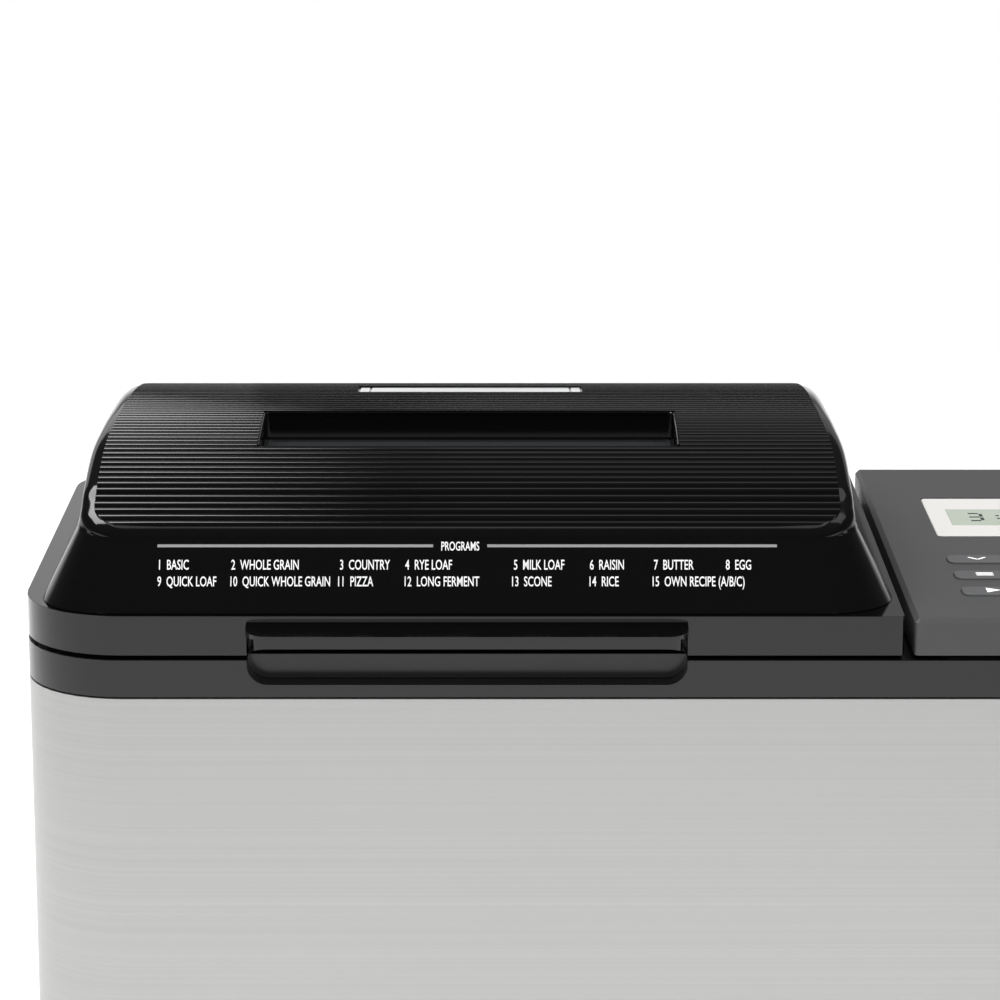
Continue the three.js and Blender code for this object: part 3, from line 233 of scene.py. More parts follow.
# %% Air of the studio
air = Tree(world.node_tree)
look_up = air.node("ShaderNodeTexCoord", output="Generated")
height_seen = air.node("ShaderNodeSeparateXYZ", {}, {0: look_up}, output="Z")
behind = air.node("ShaderNodeSeparateXYZ", {}, {0: look_up}, output="Y")
level = height_seen - FRONT_LIFT * (0 - behind).most(0)
glow = air.node("ShaderNodeValToRGB", {"stops": SKY}, {"Fac": level * 0.5 + 0.5})
air.plug(glow, world.node_tree.nodes["Background"].inputs["Color"])
print("air:", len(SKY), "stops")

# %% [markdown]
# ## Finishes
# Each finish is one Principled shader. Values that are the same all over sit on its own sockets. Only
# what changes over the surface is wired in: grain, streaks, specks, and the small waviness that every
# moulded or rolled sheet has. All patterns read Object coordinates, and every piece sits at the
# origin, so a pattern stays on the piece however the machine moves.


# %% A finish and its patterns
FINISH = {}


class Finish(Tree):
    """A material under construction, kept in FINISH under its name."""

    def __init__(self, name, **constants):
        self.material = bpy.data.materials.new(name)
        self.material.use_nodes = True
        FINISH[name] = self.material
        super().__init__(self.material.node_tree)
        self.shader = self.nodes.nodes["Principled BSDF"]
        for key, value in constants.items():
            self.shader.inputs[key.replace("_", " ")].default_value = value
        self.place = self.node("ShaderNodeTexCoord", output="Object")

    def noise(self, scale, detail=2.0, rough=0.5, stretch=(1, 1, 1)):
        spread = self.node("ShaderNodeMapping", {}, {"Vector": self.place, "Scale": stretch})
        inputs = {"Vector": spread, "Scale": scale, "Detail": detail, "Roughness": rough}
        return self.node("ShaderNodeTexNoise", {}, inputs)

    def cells(self, scale, output="Distance"):
        return self.node("ShaderNodeTexVoronoi", {}, {"Vector": self.place, "Scale": scale}, output)

    def mix(self, amount, first, second):
        shades = {"Factor": amount, 6: (*first, 1), 7: (*second, 1)}
        return self.node("ShaderNodeMix", {"data_type": "RGBA"}, shades, output=2)

    def wire(self, **sockets):
        for key, value in sockets.items():
            self.plug(value, self.shader.inputs[key.replace("_", " ")])
        return self

    def bump(self, height, depth, strength=1.0):
        settings = {"Height": height, "Distance": depth, "Strength": strength}
        return self.wire(Normal=self.node("ShaderNodeBump", {}, settings))


# %% [markdown]
# The lid is moulded in black gloss plastic. It is nearly a black mirror: what makes it look real is a
# very slight waviness, and a bloom of fine dust that dulls the gloss in places. The band and the
# lid's frame are the same plastic with a slightly softer polish.

# %% Black plastics
gloss = Finish("black_gloss", Base_Color=(0.0016, 0.0016, 0.0018, 1), IOR=1.5)
dust = gloss.noise(900, 4, 0.7) > 0.66
bloom = gloss.noise(9, 3, 0.6)
gloss.wire(Roughness=0.06 + bloom * 0.06 + dust * 0.05)
gloss.bump(gloss.noise(26, 2), 0.0004, 0.12)

band = Finish("black_band", Base_Color=(0.0035, 0.0035, 0.0037, 1), IOR=1.5)
band.wire(Roughness=0.18 + band.noise(14, 3) * 0.08 + (band.noise(1100, 3, 0.7) > 0.68) * 0.06)
band.bump(band.noise(30, 2), 0.0004, 0.12)

panel = Finish("panel_dark", IOR=1.5)
grain = panel.noise(2600, 3, 0.6)
panel.wire(Base_Color=panel.mix(grain, (0.036, 0.036, 0.037), (0.060, 0.060, 0.061)))
panel.wire(Roughness=0.42 + panel.noise(12, 2) * 0.10)
panel.bump(grain, 0.00005, 0.5)

plastic = Finish("black_plastic", IOR=1.48)
texture = plastic.cells(1500)
plastic.wire(Base_Color=plastic.mix(plastic.noise(40, 3), (0.014, 0.014, 0.015), (0.024, 0.024, 0.025)))
plastic.wire(Roughness=0.5 + plastic.noise(30, 2) * 0.15)
plastic.bump(texture, 0.00012, 0.6)

rubber = Finish("black_rubber", IOR=1.5)
chalk = rubber.noise(220, 5, 0.7)
rubber.wire(Base_Color=rubber.mix(chalk, (0.010, 0.010, 0.010), (0.035, 0.034, 0.033)))
rubber.wire(Roughness=0.75 + chalk * 0.2)
rubber.bump(rubber.noise(1800, 3), 0.0001, 0.5)
print("black plastics:", sorted(FINISH))

# %% [markdown]
# The wrap is stainless sheet, brushed along its length. Brushing is noise that is stretched a
# thousandfold along the stroke. Height only changes the pattern upwards, so one setting serves the
# front and both sides. Long strokes change the shade, fine ones the roughness and the bump.

# %% Metals
STROKE = (1.2, 1.2, 1100)


def brushed(name, shade, roughness, stroke, depth, metallic=1.0, contrast=0.14):
    """Sheet or bar metal with straight strokes."""
    made = Finish(name, Metallic=metallic, Anisotropic=0.55)
    fine = made.noise(1.0, 4, 0.65, stroke)
    long = made.noise(0.35, 3, 0.6, tuple(s * 0.6 for s in stroke))
    cloud = made.noise(7, 3, 0.5)
    dark = tuple(c * (1 - contrast) for c in shade)
    made.wire(Base_Color=made.mix(fine * 0.55 + long * 0.30 + cloud * 0.15, dark, shade))
    made.wire(Roughness=roughness + (fine - 0.5) * 0.16 + (cloud - 0.5) * 0.05)
    made.bump(fine, depth, 0.35)


brushed("brushed_steel", (0.47, 0.47, 0.465), 0.33, STROKE, 0.0001, contrast=0.34)
brushed("badge_silver", (0.72, 0.72, 0.73), 0.45, (3, 1500, 1500), 0.00004, metallic=0.45)
brushed("bright_steel", (0.66, 0.66, 0.67), 0.22, (260, 260, 3), 0.00004)

plated = Finish("plated_steel", Metallic=1.0)
spangle = plated.cells(150, "Color")
plated.wire(Base_Color=plated.mix(spangle, (0.42, 0.43, 0.44), (0.58, 0.59, 0.60)))
plated.wire(Roughness=0.30 + spangle * 0.14 + plated.noise(60, 4) * 0.08)
plated.bump(plated.noise(400, 3), 0.00005, 0.3)

heater = Finish("heater_sheath", Metallic=0.85)
scale_bloom = heater.noise(75, 5, 0.65)
heater.wire(Base_Color=heater.mix(scale_bloom, (0.10, 0.085, 0.075), (0.26, 0.23, 0.20)))
heater.wire(Roughness=0.42 + scale_bloom * 0.25)
heater.bump(heater.noise(900, 3), 0.0001, 0.4)
print("metals:", [n for n in FINISH if "steel" in n or "silver" in n])

# %% [markdown]
# The pan and the paddles have a non-stick coating: a dark enamel with fine pale specks and a faint
# orange-peel surface. The window is tinted glass. Boards, belts, the pale display and the grey
# buttons complete the set.


# %% Coatings, glass and small parts
def speckled(name, dark, light, roughness):
    """A sprayed non-stick coating."""
    made = Finish(name, IOR=1.45, Metallic=0.25)
    specks = made.noise(1500, 2, 0.6) > 0.64
    made.wire(Base_Color=made.mix(specks * 0.7 + made.noise(20, 3) * 0.15, dark, light))
    made.wire(Roughness=roughness + made.noise(35, 3) * 0.12 - specks * 0.08)
    made.bump(made.noise(700, 2), 0.0001, 0.35)


speckled("pan_coating", (0.035, 0.035, 0.037), (0.20, 0.20, 0.20), 0.34)
speckled("paddle_coating", (0.020, 0.020, 0.021), (0.13, 0.13, 0.13), 0.40)

glass = Finish("window_glass", Base_Color=(0.10, 0.11, 0.115, 1), IOR=1.5, Transmission_Weight=0.85)
glass.wire(Roughness=0.02 + glass.noise(30, 3) * 0.03)
glass.bump(glass.noise(18, 2), 0.0003, 0.08)

board = Finish("circuit_board", IOR=1.5)
tracks = board.cells(420) < 0.25
board.wire(Base_Color=board.mix(tracks, (0.012, 0.085, 0.030), (0.03, 0.16, 0.06)))
board.wire(Roughness=0.38 + tracks * 0.2)
board.bump(tracks, 0.00005, 0.5)


def grained(name, dark, light, pattern, rough, depth=0.0, strength=0.0):
    """One noise changes the shade, the roughness (its least value and its swing) and the bump."""
    made = Finish(name, IOR=1.5)
    grain = made.noise(*pattern)
    made.wire(Base_Color=made.mix(grain, dark, light), Roughness=rough[0] + grain * rough[1])
    if depth:
        made.bump(grain, depth, strength)


def clouded(name, dark, light, scales, rough):
    """One slow noise changes the shade, and another one the roughness."""
    made = Finish(name, IOR=1.5)
    made.wire(Base_Color=made.mix(made.noise(scales[0], 2), dark, light))
    made.wire(Roughness=rough[0] + made.noise(scales[1], 2) * rough[1])


CORDS = (1.0, 2, 0.5, (90, 90, 2500))
INK = (2500, 3)
grained("drive_belt", (0.010, 0.010, 0.010), (0.030, 0.028, 0.026), CORDS, (0.65, 0.2), 0.0001, 0.5)
grained("display_pale", (0.50, 0.49, 0.475), (0.55, 0.54, 0.525), (1400, 3), (0.26, 0.08), 0.00003, 0.3)
grained("button_grey", (0.055, 0.056, 0.058), (0.085, 0.086, 0.088), (2200, 3), (0.38, 0.12), 0.00004, 0.4)
grained("white_ink", (0.74, 0.74, 0.74), (0.86, 0.86, 0.86), INK, (0.45, 0.1))
grained("grey_ink", (0.22, 0.215, 0.22), (0.28, 0.275, 0.28), INK, (0.45, 0.1))
clouded("crystal_dark", (0.016, 0.020, 0.018), (0.028, 0.033, 0.030), (90, 40), (0.2, 0.06))
clouded("crystal_field", (0.30, 0.34, 0.28), (0.36, 0.40, 0.34), (60, 25), (0.14, 0.05))

for name, obj in NODES.items():
    obj.data.materials.clear()
    obj.data.materials.append(FINISH[SLOT_OF[name]])
print("finishes:", len(FINISH))

# %% [markdown]
# ## Floor
# A plain pale sheet. Behind the machine its far edge meets the white air.

# %% Floor
pale_sheet = Finish("floor_pale")
pale_sheet.wire(Base_Color=pale_sheet.mix(pale_sheet.noise(3, 2), (0.90,) * 3, (0.93,) * 3))
pale_sheet.wire(Roughness=0.8 + pale_sheet.noise(5, 2) * 0.1)
FLOOR_HALF = 1.7
floor_mesh = bpy.data.meshes.new("floor")
corners = [(x * FLOOR_HALF, y * FLOOR_HALF, 0) for x, y in ((-1, -1), (1, -1), (1, 1), (-1, 1))]
floor_mesh.from_pydata(corners, [], [(0, 1, 2, 3)])
floor_mesh.materials.append(pale_sheet.material)
floor = bpy.data.objects.new("floor", floor_mesh)
scene.collection.objects.link(floor)
print("floor:", round(2 * FLOOR_HALF, 1), "m square")

# %% [markdown]
# ## Helpers for pieces
# `place` puts a finished mesh in the scene: its material, its body and the CAD nodes that it
# stands for. `refine` takes a CAD node's mesh, joins its loose triangles, and rounds its edges with
# a bevel. Real moulded and folded parts have no sharp edges, and the thin line of light along a
# rounded edge is what makes a black piece readable.

# %% Placing and refining
SMOOTH_BELOW = 38  # degrees
ROUND_ABOVE = 35
MERGE_CAD = 2e-6


def place(name, mesh, finish, body, slot=None, stands_for=()):
    """Adds a finished mesh as a piece that rides on a body."""
    mesh.name = name
    if not mesh.materials:
        mesh.materials.append(FINISH[finish])
    piece = bpy.data.objects.new(name, mesh)
    scene.collection.objects.link(piece)
    slot or finish
    if stands_for:
        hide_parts(*stands_for)
    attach(piece, body)
    return piece


def taken(work, name="work"):
    """A bmesh as a plain mesh. The bmesh is freed."""
    mesh = bpy.data.meshes.new(name)
    work.to_mesh(mesh)
    work.free()
    return mesh


def smoothed(mesh, angle=SMOOTH_BELOW):
    """Shades a mesh smooth, except over edges that are sharper than an angle."""
    mesh.shade_smooth()
    mesh.set_sharp_from_angle(angle=math.radians(angle))
    return mesh


def held(mesh):
    """An object in the scene that holds a mesh while modifiers work on it."""
    holder = bpy.data.objects.new("work", mesh)
    scene.collection.objects.link(holder)
    return holder


def evaluated(holder):
    """The object's mesh with its modifiers applied. The object itself is removed."""
    graph = bpy.context.evaluated_depsgraph_get()
    mesh = bpy.data.meshes.new_from_object(holder.evaluated_get(graph), depsgraph=graph)
    bpy.data.objects.remove(holder)
    return mesh


def softened(mesh, width, segments=2):
    """Rounds the sharp edges of a mesh with a bevel, and shades it smooth."""
    holder = held(smoothed(mesh))
    bevel = holder.modifiers.new("bevel", "BEVEL")
    bevel.width = width
    bevel.segments = segments
    bevel.limit_method = "ANGLE"
    bevel.angle_limit = math.radians(ROUND_ABOVE)
    weighted = holder.modifiers.new("weighted", "WEIGHTED_NORMAL")
    weighted.keep_sharp = True
    made = evaluated(holder)
    made.materials.clear()
    return made


def cad_copy(node):
    """The CAD node's mesh as a bmesh with its loose triangles joined."""
    work = bmesh.new()
    work.from_mesh(NODES[node].data)
    bmesh.ops.remove_doubles(work, verts=work.verts, dist=MERGE_CAD)
    return work


def refine(node, width, segments):
    """A copy of a CAD node with rounded edges stands for the node."""
    work = cad_copy(node)
    bmesh.ops.dissolve_limit(work, angle_limit=math.radians(1), verts=work.verts, edges=work.edges)
    made = softened(taken(work, node), width, segments)
    return place(f"fine_{node}", made, SLOT_OF[node], NODES[node]["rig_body"], stands_for=[node])


# %% [markdown]
# ## The dome
# The dome's front leans back, turns over a crease and rises in one long arc that falls away to the
# back. It could be carved with booleans, but its walls follow simple rules, so it is lofted: one row
# of points across the machine for each place along the middle line. Level cuts through the dome are
# rectangles with round corners, and that gives the width of each row at each height.

# %% The dome's middle line
FOOT_Z = LID_LOW.z
DOME_TOP = LID_HIGH.z
DOME_FRONT = LID_LOW.y
DOME_BACK = LID_HIGH.y
FOOT_HALF = (LID_HIGH.x - LID_LOW.x) / 2
CREASE = 27.2 * MM  # above the foot
CREASE_HALF = FOOT_HALF - 13.9 * MM
CREASE_IN = 12.5 * MM  # behind the foot's front
REAR_CREASE_IN = 7.5 * MM
SHOULDER = 4.6 * MM
# Places along the middle: behind the foot's front, below the dome's top, shoulder in from the foot.
ARC = [
    (17.2, 21.6, 14.9), (30, 16.0, 15.0), (42, 10.6, 15.1), (72, 3.2, 15.2), (102, 0.2, 16.4),
    (132, 0.0, 17.2), (162, 1.3, 17.5), (187, 3.7, 18.2), (202, 6.0, 19.6), (216, 9.6, 22.8),
]
REAR_TURN = [(224, 17.0, 32.0), (226.8, 22.2, 38.5)]
FRONT_CORNER = (28, 15)  # radius at the foot and at the crease, in millimetres
REAR_CORNER = (28, 30)
CROWN_STEPS = 14


def smooth_line(points, steps):
    """Points along a smooth curve through the given ones (Catmull-Rom)."""
    line = []
    for i in range(len(points) - 1):
        before = points[max(i - 1, 0)]
        after = points[min(i + 2, len(points) - 1)]
        for k in range(steps):
            t = k / steps
            weights = (
                (-t + 2 * t**2 - t**3) / 2,
                (2 - 5 * t**2 + 3 * t**3) / 2,
                (t + 4 * t**2 - 3 * t**3) / 2,
                (t**3 - t**2) / 2,
            )
            near = (before, points[i], points[i + 1], after)
            line.append(sum((w * p for w, p in zip(weights, near)), Vector()))
    line.append(points[-1])
    return line


crease_point = Vector((DOME_FRONT + CREASE_IN, FOOT_Z + CREASE, CREASE_HALF))
rear_point = Vector((DOME_BACK - REAR_CREASE_IN, FOOT_Z + CREASE, CREASE_HALF - REAR_CORNER[1] * MM))
arc_points = [
    Vector((DOME_FRONT + along * MM, DOME_TOP - drop * MM, FOOT_HALF - inside * MM))
    for along, drop, inside in ARC + REAR_TURN
]
CROWN = smooth_line([crease_point, *arc_points, rear_point], CROWN_STEPS)
print("crown: from", round(CROWN[0].x, 4), "to", round(CROWN[-1].x, 4), "in", len(CROWN), "rows")


# %% The dome's width at any place and height
def lean(share, low, high):
    """A value part of the way from one to another."""
    return low + share * (high - low)


def corner_inset(gap, radius):
    """How far a round corner stands in from the side, at a distance behind the end."""
    short = min(max(radius - gap, 0), radius)
    return radius - math.sqrt(max(radius**2 - short**2, 0))


def half_width(y, rise):
    """Half the dome's width at a place, at a height above the foot up to the crease."""
    share = min(rise / CREASE, 1)
    side = FOOT_HALF + share * (CREASE_HALF - FOOT_HALF)
    front = corner_inset(y - DOME_FRONT - share * CREASE_IN, lean(share, *FRONT_CORNER) * MM)
    back = corner_inset(DOME_BACK - share * REAR_CREASE_IN - y, lean(share, *REAR_CORNER) * MM)
    return side - front - back


def crown_half(y, shoulder_half):
    """Half the width of the dome's top at a place."""
    return shoulder_half - corner_inset(y - DOME_FRONT - CREASE_IN, FRONT_CORNER[1] * MM)


# %% [markdown]
# The window well is a rectangle, so the columns in the middle of the loft stand at fixed places, and
# the faces inside the well are left out. Outer columns spread between the well and the shoulder.

# %% Rows of the dome
WELL_LOW, WELL_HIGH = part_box("window_outer_glass")
GLASS_OVERLAP = 0.3 * MM  # the glass reaches under the well's frame
WELL_HALF = (WELL_HIGH.x - WELL_LOW.x) / 2 - GLASS_OVERLAP
WELL_Y = (WELL_LOW.y + 0.1 * MM, WELL_HIGH.y - 0.1 * MM)
WELL_WALL = 0.7 * MM
HOLE_HALF = WELL_HALF + WELL_WALL
HOLE_Y = (WELL_Y[0] - WELL_WALL, WELL_Y[1] + WELL_WALL)
WALL_STEPS = 10
UPPER_STEPS = 5
FILLET_STEPS = 5
TOP_STEPS = 6


def half_section(y, z, shoulder_half):
    """Points (x, z) from the foot up the wall and over the shoulder to the middle, for one row."""
    rise = z - FOOT_Z
    low_top = min(rise, CREASE)
    points = []
    for k in range(WALL_STEPS + 1):
        h = low_top * (1 - (1 - k / WALL_STEPS) ** 2)
        points.append((half_width(y, h), FOOT_Z + h))
    edge = min(crown_half(y, shoulder_half), points[-1][0])
    room = rise - low_top
    radius = min(SHOULDER, room * 0.9)
    base_x = points[-1][0]
    for k in range(1, UPPER_STEPS + 1):
        share = k / UPPER_STEPS
        points.append((lean(share, base_x, edge), FOOT_Z + low_top + share * (room - radius)))
    for k in range(1, FILLET_STEPS + 1):
        turn = k / FILLET_STEPS * math.pi / 2
        points.append((edge - radius * (1 - math.cos(turn)), z - radius * (1 - math.sin(turn))))
    inner = points[-1][0]
    for k in range(1, TOP_STEPS + 1):
        points.append((lean(k / TOP_STEPS, inner, HOLE_HALF), z))
    points.append((HOLE_HALF / 2, z))
    return points


def crest_rows():
    """Places along the middle line, with two of them moved onto the hole's edges."""
    rows = [tuple(p) for p in CROWN]
    for edge in HOLE_Y:
        nearest = min(range(len(rows)), key=lambda i: abs(rows[i][0] - edge))
        y0, z0, s0 = rows[nearest]
        rows[nearest] = (edge, z0 + (edge - y0) * slope_at(rows, nearest), s0)
    return rows


def slope_at(rows, i):
    """The climb of the middle line at a row."""
    (ya, za, _), (yb, zb, _) = rows[i - 1], rows[i + 1]
    return (zb - za) / (yb - ya)


def face_rows():
    """Rows up the leaning front face, close together where it turns over the crease."""
    shares = [0, 0.02, 0.06, 0.15, 0.3, 0.45, 0.6, 0.75, 0.86, 0.92, 0.96]
    return [(DOME_FRONT + s * CREASE_IN, FOOT_Z + s * CREASE, FOOT_HALF) for s in shares]


def rear_rows():
    """Rows down the back, close together at both ends."""
    shares = [0.96, 0.9, 0.8, 0.65, 0.5, 0.35, 0.2, 0.1, 0.04, 0]
    return [(DOME_BACK - s * REAR_CREASE_IN, FOOT_Z + s * CREASE, FOOT_HALF) for s in shares]


ROWS = face_rows() + crest_rows() + rear_rows()
print("dome rows:", len(ROWS))

# %% The dome's shell
SHELL = 2.2 * MM
DOME_SHARP = 50


def loft(rows, section):
    """A sheet through mirrored half sections. Faces inside the hole are left out."""
    work = bmesh.new()
    lines = []
    for row in rows:
        half = section(*row)
        y = row[0]
        left = [work.verts.new((LID_MIDDLE - x, y, z)) for x, z in half]
        middle = work.verts.new((LID_MIDDLE, y, half[-1][1]))
        right = [work.verts.new((LID_MIDDLE + x, y, z)) for x, z in reversed(half)]
        lines.append([*left, middle, *right])
    for a, b in zip(lines, lines[1:]):
        for i in range(len(a) - 1):
            quad = (a[i], a[i + 1], b[i + 1], b[i])
            centre = sum((v.co for v in quad), Vector()) / 4
            aside = abs(centre.x - LID_MIDDLE) < HOLE_HALF
            if aside and HOLE_Y[0] < centre.y < HOLE_Y[1]:
                continue
            work.faces.new(quad)
    bmesh.ops.remove_doubles(work, verts=work.verts, dist=4e-6)
    return work


def dome_shell():
    """The lofted sheet, made as thick as the moulding."""
    holder = held(taken(loft(ROWS, half_section)))
    wall = holder.modifiers.new("wall", "SOLIDIFY")
    wall.thickness = SHELL
    wall.offset = -1
    made = smoothed(evaluated(holder), DOME_SHARP)
    return place("dome_shell", made, "black_gloss", "lid", stands_for=["lid_dome"])


dome = dome_shell()
print("dome_shell:", len(dome.data.polygons), "faces")

# %% [markdown]
# ## The reeding
# The top of the lid carries forty-seven rounded reeds with sharp grooves between them. They follow
# the arc at an even pitch, so Geometry Nodes lay them: a grid is wrapped along the middle line, and
# the reeds' height comes from the distance along it. The half width is an attribute of the line, which
# also gives the reeded field its round front corners. The well and the badge's seat stay clear.

# %% Geometry Nodes helper
class Growth(Tree):
    """A Geometry Nodes tree with named inputs."""

    def __init__(self, name, **sockets):
        self.group = bpy.data.node_groups.new(name, "GeometryNodeTree")
        super().__init__(self.group)
        self.group.interface.new_socket("Geometry", in_out="INPUT", socket_type="NodeSocketGeometry")
        for key, kind in sockets.items():
            self.group.interface.new_socket(key, in_out="INPUT", socket_type=f"NodeSocket{kind}")
        self.group.interface.new_socket("Geometry", in_out="OUTPUT", socket_type="NodeSocketGeometry")
        self.entry = self.group.nodes.new("NodeGroupInput")

    def given(self, name):
        return Wire(self, self.entry.outputs[name])

    def attribute(self, name, kind="FLOAT"):
        return self.node("GeometryNodeInputNamedAttribute", {"data_type": kind}, {"Name": name})

    def vector(self, x, y, z):
        return self.node("ShaderNodeCombineXYZ", {}, {"X": x, "Y": y, "Z": z})

    def parts(self, vector):
        return [self.node("ShaderNodeSeparateXYZ", {}, {0: vector}, output=axis) for axis in "XYZ"]

    def ends_in(self, geometry):
        real = self.node("GeometryNodeRealizeInstances", {}, {"Geometry": geometry})
        painted = {"Geometry": real, "Material": self.given("Material")}
        done = self.node("GeometryNodeSetMaterial", {}, painted)
        exit_node = self.group.nodes.new("NodeGroupOutput")
        self.plug(done, exit_node.inputs["Geometry"])

    def grow(self, mesh, values):
        """Runs the tree on a mesh. The result is a plain mesh."""
        holder = held(mesh)
        modifier = holder.modifiers.new("growth", "NODES")
        modifier.node_group = self.group
        for item in self.group.interface.items_tree:
            if item.in_out == "INPUT" and item.name in values:
                modifier[item.identifier] = values[item.name]
        return evaluated(holder)


def line_mesh(points, **attributes):
    """Points joined in one line, with numbers on the points."""
    mesh = bpy.data.meshes.new("line")
    mesh.from_pydata([tuple(p) for p in points], [(i, i + 1) for i in range(len(points) - 1)], [])
    for key, values in attributes.items():
        mesh.attributes.new(key, "FLOAT", "POINT").data.foreach_set("value", values)
    return mesh


# %% The reeding tree
COLUMNS = 19
ROWS_PER_REED = 8


def wrapped_reeds():
    """A grid wrapped along the middle line, with a wave over it and the well and the seat cut out."""
    tree = Growth("reeding", Material="Material", Pitch="Float", Reeds="Int", Height="Float",
                  Seat="Float", Well="Float", Well_Front="Float", Well_Back="Float",
                  Seat_Front="Float", Seat_Back="Float", Depth="Float")
    given = tree.given
    curve = tree.node("GeometryNodeMeshToCurve", {}, {"Mesh": given("Geometry")})
    rows = given("Reeds") * ROWS_PER_REED + 1
    size = {"Size X": 2.0, "Size Y": 1.0, "Vertices X": COLUMNS, "Vertices Y": rows}
    grid = tree.node("GeometryNodeMeshGrid", {}, size)
    u, v, _ = tree.parts(tree.node("GeometryNodeInputPosition"))
    along = (v + 0.5) * given("Reeds")
    reach = {"Curves": curve, "Value": tree.attribute("half"), "Length": along * given("Pitch")}
    sample = {"mode": "LENGTH", "use_all_curves": False}
    half = tree.node("GeometryNodeSampleCurve", sample, reach, output="Value")
    spot = Wire(tree, half.socket.node.outputs["Position"])
    tangent = Wire(tree, half.socket.node.outputs["Tangent"])
    _, spot_y, spot_z = tree.parts(spot)
    _, run, climb = tree.parts(tangent)
    wave = along.fraction() * 2 - 1
    height = given("Height") * (1 - wave * wave)
    # The columns stop at the badge seat, at the well and at the edge of the reeded field.
    third = abs(u) * 3
    seat = third.least(1) * given("Seat")
    well = (third - 1).most(0).least(1) * (given("Well") - given("Seat"))
    edge = (third - 2).most(0) * (half - given("Well"))
    x = u.sign() * (seat + well + edge)
    wrapped = tree.vector(x + LID_MIDDLE, spot_y - climb * height, spot_z + run * height)
    sheet = tree.node("GeometryNodeSetPosition", {}, {"Geometry": grid, "Position": wrapped})
    px, py, _ = tree.parts(tree.node("GeometryNodeInputPosition"))
    aside = abs(px - LID_MIDDLE)
    in_well = (aside < given("Well")) * (py > given("Well_Front")) * (py < given("Well_Back"))
    in_seat = (aside < given("Seat")) * (py > given("Seat_Front")) * (py < given("Seat_Back"))
    cleared = tree.node("GeometryNodeDeleteGeometry", {"domain": "FACE"},
                        {"Geometry": sheet, "Selection": in_well + in_seat})
    down = {"Mesh": cleared, "Offset": tree.vector(0.0, 0.0, -1.0), "Offset Scale": given("Depth"),
            "Individual": False}
    skirt = tree.node("GeometryNodeExtrudeMesh", {"mode": "FACES"}, down)
    shut = tree.node("GeometryNodeJoinGeometry")
    for half_shell in (tree.node("GeometryNodeFlipFaces", {}, {"Mesh": skirt}), cleared):
        tree.plug(half_shell, shut.socket.node.inputs[0])
    tree.ends_in(tree.node("GeometryNodeMergeByDistance", {}, {"Geometry": shut, "Distance": 1e-6}))
    return tree


# %% The reeds on the dome
PITCH = 4.18 * MM
MOST_REEDS = 47
REED_HEIGHT = 0.85 * MM
REED_SINK = 1.1 * MM
GROOVE_SHARP = 40
FIELD_MARGIN = 1.2 * MM
FIELD_START = 0.65  # pitches before the first full groove
FIELD_CORNER = 9 * MM
FIELD_CORNER_DEPTH = 0.7  # of the radius
SEAT_ASIDE = 0.8 * MM  # clear room round the badge
SEAT_ALONG = 0.5 * MM
BADGE_LOW, BADGE_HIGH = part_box("badge_plate")


def reed_line():
    """The middle line from just before the first full groove, in steps under a millimetre."""
    start = ARC[0][0] * MM + DOME_FRONT
    fine = smooth_line([crease_point, *arc_points], 60)
    first = min(range(len(fine)), key=lambda i: abs(fine[i].x - start))
    walked = 0.0
    while walked < FIELD_START * PITCH and first > 0:
        walked += (fine[first] - fine[first - 1]).to_2d().length
        first -= 1
    points, halves = [], []
    travelled = 0.0
    last = None
    for p in fine[first:]:
        if last is not None:
            travelled += (p.to_2d() - last.to_2d()).length
        last = p
        edge = min(crown_half(p.x, p.z), half_width(p.x, CREASE)) - SHOULDER - FIELD_MARGIN
        points.append((0.0, p.x, p.y))
        halves.append(edge - corner_inset(travelled, FIELD_CORNER) * FIELD_CORNER_DEPTH)
    return line_mesh(points, half=halves), travelled


line, length = reed_line()
REED_COUNT = min(MOST_REEDS, int(length / PITCH))
reeding = wrapped_reeds().grow(line, {
    "Material": FINISH["black_gloss"], "Pitch": PITCH, "Reeds": REED_COUNT, "Height": REED_HEIGHT,
    "Seat": (BADGE_HIGH.x - BADGE_LOW.x) / 2 + SEAT_ASIDE, "Well": HOLE_HALF,
    "Well_Front": HOLE_Y[0], "Well_Back": HOLE_Y[1],
    "Seat_Front": BADGE_LOW.y - SEAT_ALONG, "Seat_Back": BADGE_HIGH.y + SEAT_ALONG, "Depth": REED_SINK,
})
smoothed(reeding, GROOVE_SHARP)
place("dome_reeding", reeding, "black_gloss", "lid")
print("dome_reeding:", REED_COUNT, "reeds,", len(reeding.polygons), "faces")

# %% [markdown]
# ## The window well
# The well is a frame with straight walls and tight corners, set into the hole in the dome. Its upper
# edge stands as high as the reeds and follows the arc, and a ledge at its foot carries the glass.

# %% Rings
def round_plan(x0, x1, y0, y1, radius, steps=6, sides=1):
    """A rectangle with round corners, counterclockwise. Straight sides can be cut into lengths."""
    points = []
    centres = [(x0 + radius, y0 + radius, 180), (x1 - radius, y0 + radius, 270),
               (x1 - radius, y1 - radius, 0), (x0 + radius, y1 - radius, 90)]
    for cx, cy, start in centres:
        for k in range(steps + 1):
            turn = math.radians(start + 90 * k / steps)
            points.append((cx + radius * math.cos(turn), cy + radius * math.sin(turn)))
    if sides == 1:
        return points
    cut = []
    for i, a in enumerate(points):
        b = points[(i + 1) % len(points)]
        count = sides if math.dist(a, b) > radius else 1
        cut += [(lean(k / count, a[0], b[0]), lean(k / count, a[1], b[1])) for k in range(count)]
    return cut


